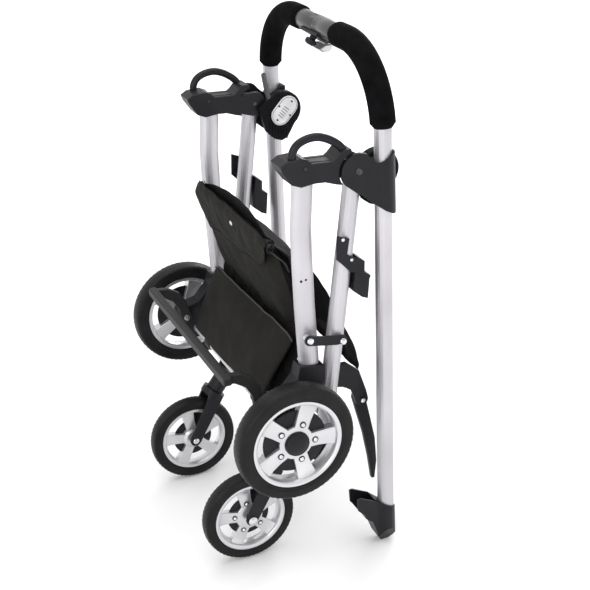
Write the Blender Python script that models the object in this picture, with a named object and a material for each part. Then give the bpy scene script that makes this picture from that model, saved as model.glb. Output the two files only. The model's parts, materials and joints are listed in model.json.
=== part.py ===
"""Folded four-wheel trolley chassis with a fabric basket.

Metres, +Z up, +Y to the front, +X to the trolley's right. The origin is on the floor under the
middle of the object. It stands folded, on its two caster wheels and the two feet of its handle.
"""

import math

import bmesh
import bpy
from mathutils import Matrix, Vector

GAP = 0.0003  # between pieces that touch

# Hub: the hinge that joins the front and the rear frame.
PIVOT_Y, PIVOT_Z = 0.092, 0.744
PIVOT_RADIUS = 0.004
HUB_RADIUS = 0.031
CHEEK_IN, CHEEK_OUT = 0.2354, 0.2414
TONGUE_IN, TONGUE_OUT = 0.1960, 0.2044
BEAM_OUT = 0.2375
COLLAR_IN, COLLAR_RADIUS = 0.2090, 0.0198

# Handle: a U of round tube that slides through the hubs.
HANDLE_X, HANDLE_Y = 0.230, 0.144  # at the cross-piece
HANDLE_TOP = 0.925
HANDLE_LEAN = 0.0150  # metres back for each metre down
HANDLE_BEND = 0.125
TUBE_RADIUS, TUBE_WALL = 0.015, 0.0018
HANDLE_END = 0.040
GRIP_RADIUS = 0.0215
GRIP_BOTTOM = 0.8045
COVER_HALF, COVER_RADIUS = 0.066, 0.0175
KNOB_X, KNOB_ANGLE = 0.001, math.radians(53)

# Front legs, a little inside the plane of the handle.
LEG_X = 0.220
LEG_SLOPE = 0.1545  # metres back for each metre down
LEG_TOP, LEG_BOTTOM = 0.757, 0.232

# Rear legs: oval tube.
REAR_LEG_X = 0.213
REAR_LEG_HALF_X, REAR_LEG_HALF_Y = 0.012, 0.0185
REAR_LEG_ROUTE = [
    (0.003, 0.755),
    (0.003, 0.725),
    (-0.003, 0.660),
    (-0.004, 0.600),
    (-0.004, 0.520),
    (-0.001, 0.386),
]

# Rear wheels and their axle.
AXLE_Y, AXLE_Z = -0.064, 0.306
WHEEL_X = 0.280
WHEEL_RADIUS, WHEEL_RIM, WHEEL_HALF = 0.107, 0.080, 0.018
CASTING_IN, CASTING_OUT = 0.1985, 0.2300
AXLE_TUBE_RADIUS = 0.008
SPINDLE_RADIUS = 0.005

# Caster wheels. The swivel pin leans forward in the folded stance.
CASTER_X, CASTER_Y = 0.151, -0.112
CASTER_RADIUS, CASTER_RIM, CASTER_HALF = 0.088, 0.067, 0.014
FORK_REACH, FORK_ANGLE = 0.105, math.radians(60)
SWIVEL_LEAN = math.radians(40)
FORK_IN, FORK_OUT = 0.0168, 0.0226
STEM_RADIUS = 0.005

# Brake bar behind the rear axle.
BRAKE_Y, BRAKE_Z = -0.088, 0.340
BAR_Y, BAR_Z = -0.147, 0.404
BAR_HALF = 0.205
BRAKE_ARM_IN, BRAKE_ARM_OUT = 0.1850, 0.1970

# Rest arms in front of the basket.
REST_Y, REST_Z = 0.104, 0.296
REST_IN, REST_OUT = 0.1790, 0.1895

# Storage hook, on the right side only.
HOOK_Y, HOOK_Z = -0.0095, 0.464
HOOK_PIN_Y, HOOK_PIN_Z = 0.0515, 0.448
HOOK_IN, HOOK_OUT = 0.2392, 0.2432

# Foot of the handle and the latch that it climbs onto.
FOOT_IN, FOOT_OUT = 0.2015, 0.2475
FOOT_SLOT = 0.0157
LATCH_HALF = 0.0152
LATCH_IN, LATCH_OUT = 0.2354, 0.2386

ORIGIN_SHIFT = 0.0085  # puts the origin under the middle of the whole

SIDES = {"left": -1, "right": 1}


def clear_scene():
    for old in list(bpy.data.objects):
        bpy.data.objects.remove(old, do_unlink=True)


def material(name, colour, roughness, metallic=0.0):
    made = bpy.data.materials.new(name)
    made.use_nodes = True
    shader = made.node_tree.nodes["Principled BSDF"]
    shader.inputs["Base Color"].default_value = (*colour, 1.0)
    shader.inputs["Roughness"].default_value = roughness
    shader.inputs["Metallic"].default_value = metallic
    made.diffuse_color = (*colour, 1.0)
    return made


def make_materials():
    return {
        "aluminium": material("satin_aluminium", (0.66, 0.65, 0.67), 0.38, 0.85),
        "plastic": material("black_plastic", (0.022, 0.022, 0.026), 0.48),
        "foam": material("grip_foam", (0.014, 0.013, 0.014), 0.85),
        "rubber": material("tyre_rubber", (0.028, 0.027, 0.026), 0.70),
        "rim": material("silver_plastic", (0.72, 0.71, 0.72), 0.35, 0.40),
        "steel": material("chrome_steel", (0.75, 0.75, 0.76), 0.18, 1.0),
        "fabric": material("basket_fabric", (0.026, 0.025, 0.022), 0.90),
        "bar": material("grey_plastic", (0.09, 0.09, 0.09), 0.60),
    }


def finish(name, mesh, finish_material, parent):
    """Turns a bmesh into a named object, faces out and shaded smooth up to 35 degrees."""
    bmesh.ops.remove_doubles(mesh, verts=mesh.verts, dist=1e-6)
    bmesh.ops.recalc_face_normals(mesh, faces=mesh.faces)
    data = bpy.data.meshes.new(name)
    mesh.to_mesh(data)
    mesh.free()
    data.shade_smooth()
    data.set_sharp_from_angle(angle=math.radians(35))
    made = bpy.data.objects.new(name, data)
    bpy.context.scene.collection.objects.link(made)
    if finish_material:
        data.materials.append(finish_material)
    if parent:
        made.parent = parent
        made.matrix_parent_inverse = parent.matrix_world.inverted()
    return made


def boolean(base, other, operation):
    """Applies a Boolean to base and removes the other object."""
    step = base.modifiers.new(operation.lower(), "BOOLEAN")
    step.operation = operation
    step.object = other
    bpy.context.view_layer.update()
    graph = bpy.context.evaluated_depsgraph_get()
    result = bpy.data.meshes.new_from_object(base.evaluated_get(graph))
    base.modifiers.remove(step)
    base.data = result
    result.shade_smooth()
    result.set_sharp_from_angle(angle=math.radians(35))
    bpy.data.objects.remove(other, do_unlink=True)
    return base


def cut(base, *tools):
    for tool in tools:
        boolean(base, tool, "DIFFERENCE")
    return base


def join(base, *others):
    for other in others:
        boolean(base, other, "UNION")
    return base


def arc(centre, radius, start, end, steps):
    """Points on a circle in the YZ plane, from one angle to another, in degrees."""
    angles = [math.radians(start + (end - start) * i / steps) for i in range(steps + 1)]
    return [(centre[0] + radius * math.cos(a), centre[1] + radius * math.sin(a)) for a in angles]


def stadium(first, second, radius_first, radius_second, steps=6):
    """The outline around two circles in the YZ plane."""
    along = math.degrees(math.atan2(second[1] - first[1], second[0] - first[0]))
    reach = math.hypot(second[0] - first[0], second[1] - first[1])
    tilt = math.degrees(math.asin((radius_first - radius_second) / reach))
    return arc(second, radius_second, along - 90 + tilt, along + 90 - tilt, steps) + arc(
        first, radius_first, along + 90 - tilt, along + 270 + tilt, steps
    )


def prism(name, outline, x_from, x_to, finish_material=None, parent=None, bevel=0.0):
    """An outline in the YZ plane, extruded along X, with a bevel on its two rims."""
    mesh = bmesh.new()
    face = mesh.faces.new([mesh.verts.new((x_from, y, z)) for y, z in outline])
    extruded = bmesh.ops.extrude_face_region(mesh, geom=[face])["geom"]
    moved = [item for item in extruded if isinstance(item, bmesh.types.BMVert)]
    bmesh.ops.translate(mesh, verts=moved, vec=(x_to - x_from, 0, 0))
    if bevel:
        rims = [e for e in mesh.edges if abs(e.verts[0].co.x - e.verts[1].co.x) < 1e-7]
        bmesh.ops.bevel(mesh, geom=rims, offset=bevel, segments=1, profile=0.5, affect="EDGES")
    return finish(name, mesh, finish_material, parent)


def turned(name, profile, finish_material=None, parent=None, steps=24, matrix=None):
    """A closed (along, radius) profile turned about X, then placed by a matrix."""
    mesh = bmesh.new()
    ring = [mesh.verts.new((along, radius, 0)) for along, radius in profile]
    edges = [mesh.edges.new((ring[i], ring[(i + 1) % len(ring)])) for i in range(len(ring))]
    bmesh.ops.spin(
        mesh,
        geom=ring + edges,
        axis=(1, 0, 0),
        cent=(0, 0, 0),
        steps=steps,
        angle=2 * math.pi,
        use_merge=True,
    )
    bmesh.ops.remove_doubles(mesh, verts=mesh.verts, dist=1e-6)
    flat = [f for f in mesh.faces if f.calc_area() < 1e-12]
    bmesh.ops.delete(mesh, geom=flat, context="FACES")
    mesh.transform(matrix or Matrix.Identity(4))
    return finish(name, mesh, finish_material, parent)


def pin(name, x_from, x_to, y, z, radius, finish_material=None, parent=None, steps=16):
    """A round bar along X."""
    mesh = bmesh.new()
    middle = Matrix.Translation(((x_from + x_to) / 2, y, z)) @ Matrix.Rotation(math.pi / 2, 4, "Y")
    bmesh.ops.create_cone(
        mesh,
        cap_ends=True,
        segments=steps,
        radius1=radius,
        radius2=radius,
        depth=abs(x_to - x_from),
        matrix=middle,
    )
    return finish(name, mesh, finish_material, parent)


def rod(name, start, end, radius, finish_material=None, parent=None, steps=16):
    """A round bar between two points."""
    start, end = Vector(start), Vector(end)
    turn = (end - start).to_track_quat("Z", "Y").to_matrix().to_4x4()
    mesh = bmesh.new()
    bmesh.ops.create_cone(
        mesh,
        cap_ends=True,
        segments=steps,
        radius1=radius,
        radius2=radius,
        depth=(end - start).length,
        matrix=Matrix.Translation((start + end) / 2) @ turn,
    )
    return finish(name, mesh, finish_material, parent)


def ring_points(centre, along, half, side_on, sides):
    """Points of an ellipse square to a direction; half is (across side_on, across the third axis)."""
    along = along.normalized()
    across = (side_on - along * side_on.dot(along)).normalized()
    third = along.cross(across)
    angles = [2 * math.pi * i / sides for i in range(sides)]
    return [centre + across * half[0] * math.cos(a) + third * half[1] * math.sin(a) for a in angles]


def tube(name, route, half, wall, finish_material=None, parent=None, sides=20, side_on=(1, 0, 0)):
    """A round or oval tube along a route. With a wall it is hollow and open at both ends."""
    route = [Vector(point) for point in route]
    side_on = Vector(side_on)
    mesh = bmesh.new()
    skins = [half, (half[0] - wall, half[1] - wall)] if wall else [half]
    loops = []
    for skin in skins:
        loops.append([])
        for i, point in enumerate(route):
            along = route[min(i + 1, len(route) - 1)] - route[max(i - 1, 0)]
            ring = ring_points(point, along, skin, side_on, sides)
            loops[-1].append([mesh.verts.new(corner) for corner in ring])
    for rings in loops:
        for first, second in zip(rings, rings[1:]):
            bridge(mesh, first, second)
    if wall:
        bridge(mesh, loops[0][0], loops[1][0])
        bridge(mesh, loops[0][-1], loops[1][-1])
    else:
        mesh.faces.new(loops[0][0])
        mesh.faces.new(loops[0][-1])
    return finish(name, mesh, finish_material, parent)


def bridge(mesh, first, second):
    count = len(first)
    for i in range(count):
        j = (i + 1) % count
        mesh.faces.new((first[i], first[j], second[j], second[i]))


def box(name, low, high, finish_material=None, parent=None, bevel=0.0):
    mesh = bmesh.new()
    size = [b - a for a, b in zip(low, high)]
    middle = [(a + b) / 2 for a, b in zip(low, high)]
    bmesh.ops.create_cube(mesh, size=1, matrix=Matrix.Translation(middle) @ Matrix.Diagonal((*size, 1)))
    if bevel:
        bmesh.ops.bevel(mesh, geom=mesh.edges[:], offset=bevel, segments=1, profile=0.5, affect="EDGES")
    return finish(name, mesh, finish_material, parent)


def leg_y(z):
    """The front legs' centre line."""
    return PIVOT_Y + (z - PIVOT_Z) * LEG_SLOPE


def body(name, location, parent=None):
    """An empty on a joint's axis, which carries the pieces that move with it."""
    made = bpy.data.objects.new(name, None)
    bpy.context.scene.collection.objects.link(made)
    made.location = location
    bpy.context.view_layer.update()
    if parent:
        made.parent = parent
        made.matrix_parent_inverse = parent.matrix_world.inverted()
        bpy.context.view_layer.update()
    return made


def handle_y(z):
    """The handle tube's centre line, which leans back a little towards the floor."""
    return HANDLE_Y - HANDLE_LEAN * (HANDLE_TOP - z)


def handle_route(bottom):
    """Points up the left side, over the bends and down the right side."""
    inner = HANDLE_X - HANDLE_BEND
    low = HANDLE_TOP - HANDLE_BEND
    bend = arc((inner, low), HANDLE_BEND, 0, 90, 8)
    right = [(HANDLE_X, bottom)] + bend
    left = [(-x, z) for x, z in right]
    return [(x, handle_y(z), z) for x, z in left] + [(x, handle_y(z), z) for x, z in reversed(right)]


def grip_route(side):
    """From the grip's lower end, round the bend, to the centre cover."""
    inner = HANDLE_X - HANDLE_BEND
    bend = arc((inner, HANDLE_TOP - HANDLE_BEND), HANDLE_BEND, 0, 90, 8)
    # The straight below the bend is short, and the one past it ends at the cover.
    points = [(HANDLE_X, GRIP_BOTTOM - 0.0)] if GRIP_BOTTOM < bend[0][1] - 1e-4 else []
    points += bend + [(COVER_HALF + GAP, HANDLE_TOP)]
    return [(side * x, handle_y(z), z) for x, z in points]


def build_handle(finishes, parent):
    tube(
        "handle_tube",
        handle_route(HANDLE_END),
        (TUBE_RADIUS, TUBE_RADIUS),
        TUBE_WALL,
        finishes["aluminium"],
        parent,
        side_on=(0, 1, 0),
    )
    for label, side in SIDES.items():
        sleeve(f"grip_{label}", grip_route(side), GRIP_RADIUS, finishes["foam"], parent)
        build_foot(label, side, finishes, parent)
    cover = [(side * COVER_HALF, HANDLE_Y, HANDLE_TOP) for side in (-1, 1)]
    sleeve("grip_centre_cover", cover, COVER_RADIUS, finishes["aluminium"], parent)
    build_release(finishes, parent)


def sleeve(name, route, radius, finish_material, parent):
    """A tube that fits round the handle tube."""
    wall = radius - TUBE_RADIUS - GAP
    return tube(name, route, (radius, radius), wall, finish_material, parent, side_on=(0, 1, 0))


def build_release(finishes, parent):
    """The housing under the handle's middle, with a thumb knob and a pull trigger."""
    seat = COVER_RADIUS + GAP
    saddle = arc((HANDLE_Y, HANDLE_TOP), seat, -165, -48, 8)
    outline = saddle + [
        (HANDLE_Y + 0.0140, HANDLE_TOP - 0.0170),
        (HANDLE_Y + 0.0140, HANDLE_TOP - 0.0265),
        (HANDLE_Y - 0.0010, HANDLE_TOP - 0.0265),
        (HANDLE_Y - 0.0032, HANDLE_TOP - 0.0233),
        (HANDLE_Y - 0.0216, HANDLE_TOP - 0.0094),
        (HANDLE_Y - 0.0200, HANDLE_TOP - 0.0050),
    ]
    housing = prism("release_housing", outline, -0.034, 0.030, finishes["plastic"], parent)
    funnel = [(-0.036, 0.93), (0.036, 0.93), (0.036, 0.914), (0.024, 0.897), (-0.016, 0.897), (-0.036, 0.914)]
    boolean(housing, across("funnel", funnel, 0.10, 0.18), "INTERSECT")
    turn = Matrix.Rotation(KNOB_ANGLE, 4, "X") @ Matrix.Rotation(-math.pi / 2, 4, "Z")
    place = Matrix.Translation((KNOB_X, HANDLE_Y, HANDLE_TOP)) @ turn
    well_low = (-0.0085, HANDLE_Y + 0.0015, HANDLE_TOP - 0.030)
    well_high = (0.0125, HANDLE_Y + 0.0085, HANDLE_TOP - 0.020)
    well = box("well", well_low, well_high)
    cut(housing, well, turned("knob_bore", ring_profile(0.0150, 0.0300, 0.0067), steps=20, matrix=place))
    knob_body = body("release_knob_axis", (KNOB_X, HANDLE_Y, HANDLE_TOP), parent)
    knob_profile = [
        (0.0205, 0.0),
        (0.0205, 0.0060),
        (0.0262, 0.0060),
        (0.0264, 0.0090),
        (0.0285, 0.0105),
        (0.0330, 0.0105),
        (0.0358, 0.0088),
        (0.0370, 0.0050),
        (0.0370, 0.0),
    ]
    turned("release_knob", knob_profile, finishes["plastic"], knob_body, 20, place)
    trigger_body = body("release_trigger_axis", (0.002, HANDLE_Y, HANDLE_TOP), parent)
    paddle = [
        (HANDLE_Y + 0.0005, HANDLE_TOP - 0.0300),
        (HANDLE_Y + 0.0130, HANDLE_TOP - 0.0300),
        (HANDLE_Y + 0.0140, HANDLE_TOP - 0.0370),
        (HANDLE_Y + 0.0080, HANDLE_TOP - 0.0430),
        (HANDLE_Y - 0.0040, HANDLE_TOP - 0.0425),
        (HANDLE_Y - 0.0110, HANDLE_TOP - 0.0365),
        (HANDLE_Y - 0.0080, HANDLE_TOP - 0.0350),
    ]
    trigger = prism("release_trigger", paddle, -0.016, 0.020, finishes["steel"], trigger_body, 0.0015)
    stem_low = (-0.0080, HANDLE_Y + 0.0020, HANDLE_TOP - 0.0340)
    join(trigger, box("stem", stem_low, (0.0120, HANDLE_Y + 0.0080, HANDLE_TOP - 0.0245)))


def ring_profile(low, high, radius):
    """The profile of a plain cylinder about the X axis."""
    return [(low, 0.0), (low, radius), (high, radius), (high, 0.0)]


def build_foot(label, side, finishes, parent):
    """The plug on a handle end, with a slotted pocket that climbs over the latch block."""
    outline = [
        (0.1200, 0.0),
        (0.1345, 0.0),
        (0.1440, 0.0070),
        (0.1500, 0.0260),
        (0.1500, 0.0700),
        (0.1460, 0.0770),
        (0.1190, 0.0900),
        (0.0770, 0.1130),
        (0.0705, 0.1125),
        (0.0715, 0.0870),
        (0.0780, 0.0800),
        (0.0840, 0.0755),
        (0.0870, 0.0640),
        (0.1000, 0.0530),
        (0.1060, 0.0360),
        (0.1120, 0.0150),
    ]
    foot = prism(
        f"handle_foot_{label}", outline, side * FOOT_IN, side * FOOT_OUT, finishes["plastic"], parent
    )
    boolean(foot, column("section", foot_section(side), -0.01, 0.20), "INTERSECT")
    taper = [(0.2120, -0.001), (0.2290, -0.001), (0.2480, 0.034)]
    taper += [(0.2480, 0.20), (0.2010, 0.20), (0.2010, 0.034)]
    boolean(foot, across("taper", [(side * x, z) for x, z in taper], 0.0, 0.2), "INTERSECT")
    socket = rod(
        "socket",
        (side * HANDLE_X, handle_y(HANDLE_END), HANDLE_END - GAP),
        (side * HANDLE_X, handle_y(0.2), 0.2),
        TUBE_RADIUS + GAP,
        steps=20,
    )
    space = [(0.04, 0.0840), (0.0860, 0.0840), (0.1090, 0.0680), (0.1090, 0.2), (0.04, 0.2)]
    slot = prism("slot", space, side * (LEG_X - FOOT_SLOT), side * (LEG_X + FOOT_SLOT))
    cut(foot, socket, slot)


def foot_section(side):
    """A handle foot from above: a pocket as wide as the leg, then a collar round the tube."""
    centre = handle_y(0.05)
    collar = arc((HANDLE_X, centre), TUBE_RADIUS + 0.0028, -50, 215, 16)
    section = [(FOOT_IN, 0.050), (0.2385, 0.050), (0.2385, 0.112)] + collar + [(FOOT_IN, 0.108)]
    return [(side * x, y) for x, y in section]


def across(name, outline, y_from, y_to):
    """An outline in the XZ plane, extruded along Y."""
    mesh = bmesh.new()
    face = mesh.faces.new([mesh.verts.new((x, y_from, z)) for x, z in outline])
    extruded = bmesh.ops.extrude_face_region(mesh, geom=[face])["geom"]
    moved = [item for item in extruded if isinstance(item, bmesh.types.BMVert)]
    bmesh.ops.translate(mesh, verts=moved, vec=(0, y_to - y_from, 0))
    return finish(name, mesh, None, None)


def bracket_outline():
    """A hub bracket from the side: a disc on the pivot that runs on to the handle tube."""
    disc = arc((PIVOT_Y, PIVOT_Z), HUB_RADIUS, 60, 220, 14)
    return disc + [
        (0.0905, 0.7055),
        (0.0985, 0.7005),
        (0.1180, 0.6830),
        (0.1350, 0.6700),
        (0.1500, 0.6620),
        (0.1700, 0.6590),
        (0.1700, 0.7640),
        (0.1560, 0.7680),
        (0.1270, 0.7500),
        (0.1170, 0.7600),
    ]


def bracket_section(side):
    """A hub bracket from above: a cheek on the leg's outer side and a collar round the tube."""
    angles = [math.radians(-40 + 13 * i) for i in range(11)]
    centre = handle_y(PIVOT_Z)
    collar = [(HANDLE_X + COLLAR_RADIUS * math.cos(a), centre + COLLAR_RADIUS * math.sin(a)) for a in angles]
    rear = centre - COLLAR_RADIUS
    section = [(CHEEK_IN, 0.050), (CHEEK_OUT, 0.050), (CHEEK_OUT, 0.104), (0.2440, 0.120)]
    section += collar + [(COLLAR_IN, centre + COLLAR_RADIUS), (COLLAR_IN, rear), (CHEEK_IN, rear)]
    return [(side * x, y) for x, y in section]


def column(name, section, low, high):
    """A section in the XY plane, extruded upward."""
    mesh = bmesh.new()
    face = mesh.faces.new([mesh.verts.new((x, y, low)) for x, y in section])
    extruded = bmesh.ops.extrude_face_region(mesh, geom=[face])["geom"]
    moved = [item for item in extruded if isinstance(item, bmesh.types.BMVert)]
    bmesh.ops.translate(mesh, verts=moved, vec=(0, 0, high - low))
    return finish(name, mesh, None, None)


def build_hub(label, side, finishes, parent):
    bracket = prism(
        f"hub_bracket_{label}", bracket_outline(), side * 0.2000, side * 0.2600, finishes["plastic"], parent
    )
    boolean(bracket, column("section", bracket_section(side), 0.60, 0.80), "INTERSECT")
    bore = rod(
        "bore",
        (side * HANDLE_X, handle_y(0.6), 0.6),
        (side * HANDLE_X, handle_y(0.8), 0.8),
        TUBE_RADIUS + 0.0005,
        steps=24,
    )
    eye = pin("eye", side * 0.23, side * 0.26, PIVOT_Y, PIVOT_Z, PIVOT_RADIUS + GAP)
    cut(bracket, bore, eye)
    shank = CHEEK_OUT + 0.0004 - TONGUE_IN
    profile = [
        (0.0005, 0.0),
        (0.0005, PIVOT_RADIUS),
        (shank, PIVOT_RADIUS),
        (shank, 0.0062),
        (shank + 0.0016, 0.0050),
        (shank + 0.0016, 0.0),
    ]
    place = Matrix.Translation((side * TONGUE_IN, PIVOT_Y, PIVOT_Z)) @ Matrix.Scale(side, 4, (1, 0, 0))
    turned(f"hub_pin_{label}", profile, finishes["steel"], parent, 16, place)
    build_drum(label, side, finishes, parent)


def build_drum(label, side, finishes, parent):
    """The adapter block on the inner side of a hub, with its plate."""
    drum_y, drum_z = 0.1465, 0.7250
    outline = arc((drum_y, drum_z), 0.0368, -52, 115, 14) + [
        (0.1230, 0.7540),
        (0.1180, 0.7480),
        (0.1180, 0.6770),
        (0.1270, 0.6700),
        (0.1400, 0.6650),
        (0.1520, 0.6690),
    ]
    drum_in = side * 0.1860
    drum = prism(
        f"hub_drum_{label}", outline, drum_in, side * (COLLAR_IN - GAP), finishes["plastic"], parent, 0.003
    )
    wing = [(0.1230, 0.7520), (0.1080, 0.7480), (0.0950, 0.7370), (0.1080, 0.6880), (0.1230, 0.6750)]
    join(drum, prism("wing", wing, side * 0.1868, side * (TONGUE_IN - GAP)))
    reach = 0.0080
    ends = [(drum_y + s * reach, drum_z + s * reach) for s in (-1, 1)]
    plate = stadium(ends[0], ends[1], 0.0200, 0.0200, 8)
    plate_out = side * (0.1860 - GAP)
    prism(f"adapter_plate_{label}", plate, side * 0.1830, plate_out, finishes["steel"], parent, 0.0008)


def build_front_leg(label, side, finishes, parent):
    ends = [(side * LEG_X, leg_y(z), z) for z in (LEG_BOTTOM, LEG_TOP)]
    leg = tube(
        f"front_leg_{label}",
        ends,
        (TUBE_RADIUS, TUBE_RADIUS),
        TUBE_WALL,
        finishes["aluminium"],
        parent,
    )
    cut(leg, pin("hole", side * 0.19, side * 0.25, PIVOT_Y, PIVOT_Z, PIVOT_RADIUS + GAP))
    build_latch(label, side, finishes, parent)


def build_latch(label, side, finishes, parent):
    """A cranked plate on the leg's outer face that carries a block on the leg's front."""
    plate = [
        (0.0505, 0.6400),
        (0.0725, 0.6305),
        (0.0675, 0.6030),
        (0.0920, 0.5880),
        (0.0920, 0.5650),
        (0.0740, 0.5690),
        (0.0475, 0.5980),
    ]
    block = [
        (0.0860, 0.5945),
        (0.0995, 0.5840),
        (0.0985, 0.5640),
        (0.1095, 0.5560),
        (0.1045, 0.5130),
        (0.0935, 0.5180),
        (0.0780, 0.5320),
        (0.0800, 0.5640),
    ]
    clip = prism(
        f"handle_latch_{label}", plate, side * LATCH_IN, side * LATCH_OUT, finishes["plastic"], parent, 0.0008
    )
    join(clip, prism("block", block, side * (LEG_X - LATCH_HALF), side * LATCH_OUT, bevel=0.0010))
    trim = [side * (LEG_X + LATCH_HALF), side * (LEG_X + LATCH_HALF + 0.01)]
    cut(
        clip,
        box("trim", (min(trim), 0.04, 0.49), (max(trim), 0.13, 0.552)),
        leg_clearance(side),
    )


def leg_clearance(side):
    """The front leg's round space, a gap larger than the tube."""
    ends = [(side * LEG_X, leg_y(z), z) for z in (0.48, 0.68)]
    return rod("leg_space", ends[0], ends[1], TUBE_RADIUS + GAP, steps=40)


def swivel():
    """The centre of the fork's crown and the direction of the swivel pin, in the YZ plane."""
    crown = Vector(
        (0, CASTER_Y + FORK_REACH * math.cos(FORK_ANGLE), CASTER_RADIUS + FORK_REACH * math.sin(FORK_ANGLE))
    )
    return crown, Vector((0, math.sin(SWIVEL_LEAN), math.cos(SWIVEL_LEAN)))


def on_swivel(side, distance):
    crown, lean = swivel()
    return Vector((side * CASTER_X, 0, 0)) + crown + lean * distance


def build_caster(label, side, finishes, root):
    caster = body(f"caster_{label}_axis", on_swivel(side, 0), root)
    fork = fork_body(f"caster_fork_{label}", side, finishes["plastic"], caster)
    axle_hole = pin(
        "axle_hole", side * (CASTER_X - 0.05), side * (CASTER_X + 0.05), CASTER_Y, CASTER_RADIUS, 0.004 + GAP
    )
    cut(fork, axle_hole)
    head = 0.0085
    reach = FORK_OUT + GAP
    profile = [
        (-reach, 0.0),
        (-reach, 0.004),
        (reach, 0.004),
        (reach, head),
        (reach + 0.0030, head),
        (reach + 0.0042, head - 0.002),
        (reach + 0.0042, 0.0),
    ]
    place = Matrix.Translation((side * CASTER_X, CASTER_Y, CASTER_RADIUS)) @ Matrix.Scale(side, 4, (1, 0, 0))
    turned(f"caster_axle_{label}", profile, finishes["steel"], caster, 16, place)
    wheel = body(f"front_wheel_{label}_axis", (side * CASTER_X, CASTER_Y, CASTER_RADIUS), caster)
    place = Matrix.Translation((side * CASTER_X, CASTER_Y, CASTER_RADIUS)) @ Matrix.Scale(side, 4, (1, 0, 0))
    tyre(f"front_tyre_{label}", CASTER_RADIUS, CASTER_RIM, CASTER_HALF, finishes["rubber"], wheel, place)
    half, bore = CASTER_HALF - 0.002, 0.004 + 2 * GAP
    rim(f"front_rim_{label}", CASTER_RIM, half, 0.0130, bore, finishes["rim"], wheel, place)


def fork_body(name, side, finish_material, parent):
    """Two arms from the axle up to a round crown."""
    crown, _ = swivel()
    arm = stadium((CASTER_Y, CASTER_RADIUS), (crown.y, crown.z), 0.0115, 0.0150, 6)
    fork = rod(name, on_swivel(side, -0.0075), on_swivel(side, 0.0055), 0.0240, finish_material, parent, 24)
    for x_in, x_out in ((FORK_IN, FORK_OUT), (-FORK_OUT, -FORK_IN)):
        join(fork, prism("arm", arm, side * CASTER_X + x_in, side * CASTER_X + x_out, bevel=0.0012))
    cut(fork, rod("above", on_swivel(side, 0.0055), on_swivel(side, 0.03), 0.040))
    return join(fork, rod("stem", on_swivel(side, 0.0), on_swivel(side, 0.048), STEM_RADIUS))


def tyre(name, radius, seat, half, finish_material, parent, place):
    inner = seat + GAP
    crown = [
        (-half * 0.78, inner),
        (-half, inner + 0.35 * (radius - inner)),
        (-half * 0.90, inner + 0.74 * (radius - inner)),
        (-half * 0.52, inner + 0.95 * (radius - inner)),
        (0.0, radius),
    ]
    profile = crown + [(-along, r) for along, r in reversed(crown[:-1])]
    turned(name, profile, finish_material, parent, 40, place)


def rim(name, seat, half, hub, bore, finish_material, parent, place):
    """A ring, a hub and five broad spokes."""
    well = seat - 0.0075
    band = [(-half, well), (half, well), (half, seat), (-half, seat)]
    ring = turned(name, band, finish_material, parent, 40, place)
    boss = [(-half, bore), (half, bore), (half, hub), (-half, hub)]
    join(ring, turned("hub", boss, steps=20, matrix=place))
    middle = place.to_translation()
    side = 1 if middle.x > 0 else -1
    for i in range(5):
        around = math.radians(90 + 72 * i)
        out = (math.cos(around), math.sin(around))
        near, far = hub * 0.72, seat - 0.004
        spread_near, spread_far = hub * 0.50, seat * 0.215
        corners = [(near, -spread_near), (far, -spread_far), (far, spread_far), (near, spread_near)]
        outline = [
            (middle.y + r * out[0] - w * out[1], middle.z + r * out[1] + w * out[0]) for r, w in corners
        ]
        join(ring, prism("spoke", outline, middle.x - side * half * 0.2, middle.x + side * half * 0.75))
    return ring


def build_caster_housing(label, side, finishes, parent):
    """The casting on a front leg's lower end that holds the caster's swivel pin."""
    low, high = LEG_BOTTOM - 0.016, LEG_BOTTOM + 0.034
    housing = rod(
        f"caster_housing_{label}",
        (side * LEG_X, leg_y(low), low),
        (side * LEG_X, leg_y(high), high),
        0.0190,
        finishes["plastic"],
        parent,
        20,
    )
    head = rod("head", on_swivel(side, 0.0062), on_swivel(side, 0.0540), 0.0175, steps=20)
    middle = LEG_BOTTOM + 0.002
    leg_end = Vector((side * LEG_X, leg_y(middle), middle))
    arm = tapered("arm", leg_end, on_swivel(side, 0.032), 0.0150, 0.0140)
    join(housing, head, arm)
    leg_space = rod(
        "leg_space",
        (side * LEG_X, leg_y(LEG_BOTTOM - GAP), LEG_BOTTOM - GAP),
        (side * LEG_X, leg_y(0.4), 0.4),
        TUBE_RADIUS + GAP,
        steps=40,
    )
    stem_space = rod("stem_space", on_swivel(side, -0.01), on_swivel(side, 0.0495), STEM_RADIUS + 0.0005)
    cut(housing, leg_space, stem_space)


def tapered(name, start, end, radius_start, radius_end):
    turn = (end - start).to_track_quat("Z", "Y").to_matrix().to_4x4()
    mesh = bmesh.new()
    bmesh.ops.create_cone(
        mesh,
        cap_ends=True,
        segments=16,
        radius1=radius_start,
        radius2=radius_end,
        depth=(end - start).length,
        matrix=Matrix.Translation((start + end) / 2) @ turn,
    )
    return finish(name, mesh, None, None)


def beam_outline():
    """The side arm of the rear frame, from its cap over the leg to the hub's disc."""
    disc = arc((PIVOT_Y, PIVOT_Z), HUB_RADIUS + 0.0015, 216, 104, 12)
    return [
        (-0.0420, 0.7750),
        (-0.0380, 0.7640),
        (-0.0240, 0.7420),
        (-0.0080, 0.7350),
        (0.0160, 0.7370),
        (0.0340, 0.7355),
        (0.0540, 0.7280),
    ] + disc + [
        (0.0820, 0.7830),
        (0.0680, 0.7840),
        (0.0560, 0.7720),
        (0.0500, 0.7680),
        (0.0120, 0.7710),
        (0.0040, 0.7790),
        (-0.0050, 0.7830),
        (-0.0300, 0.7820),
    ]


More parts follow.
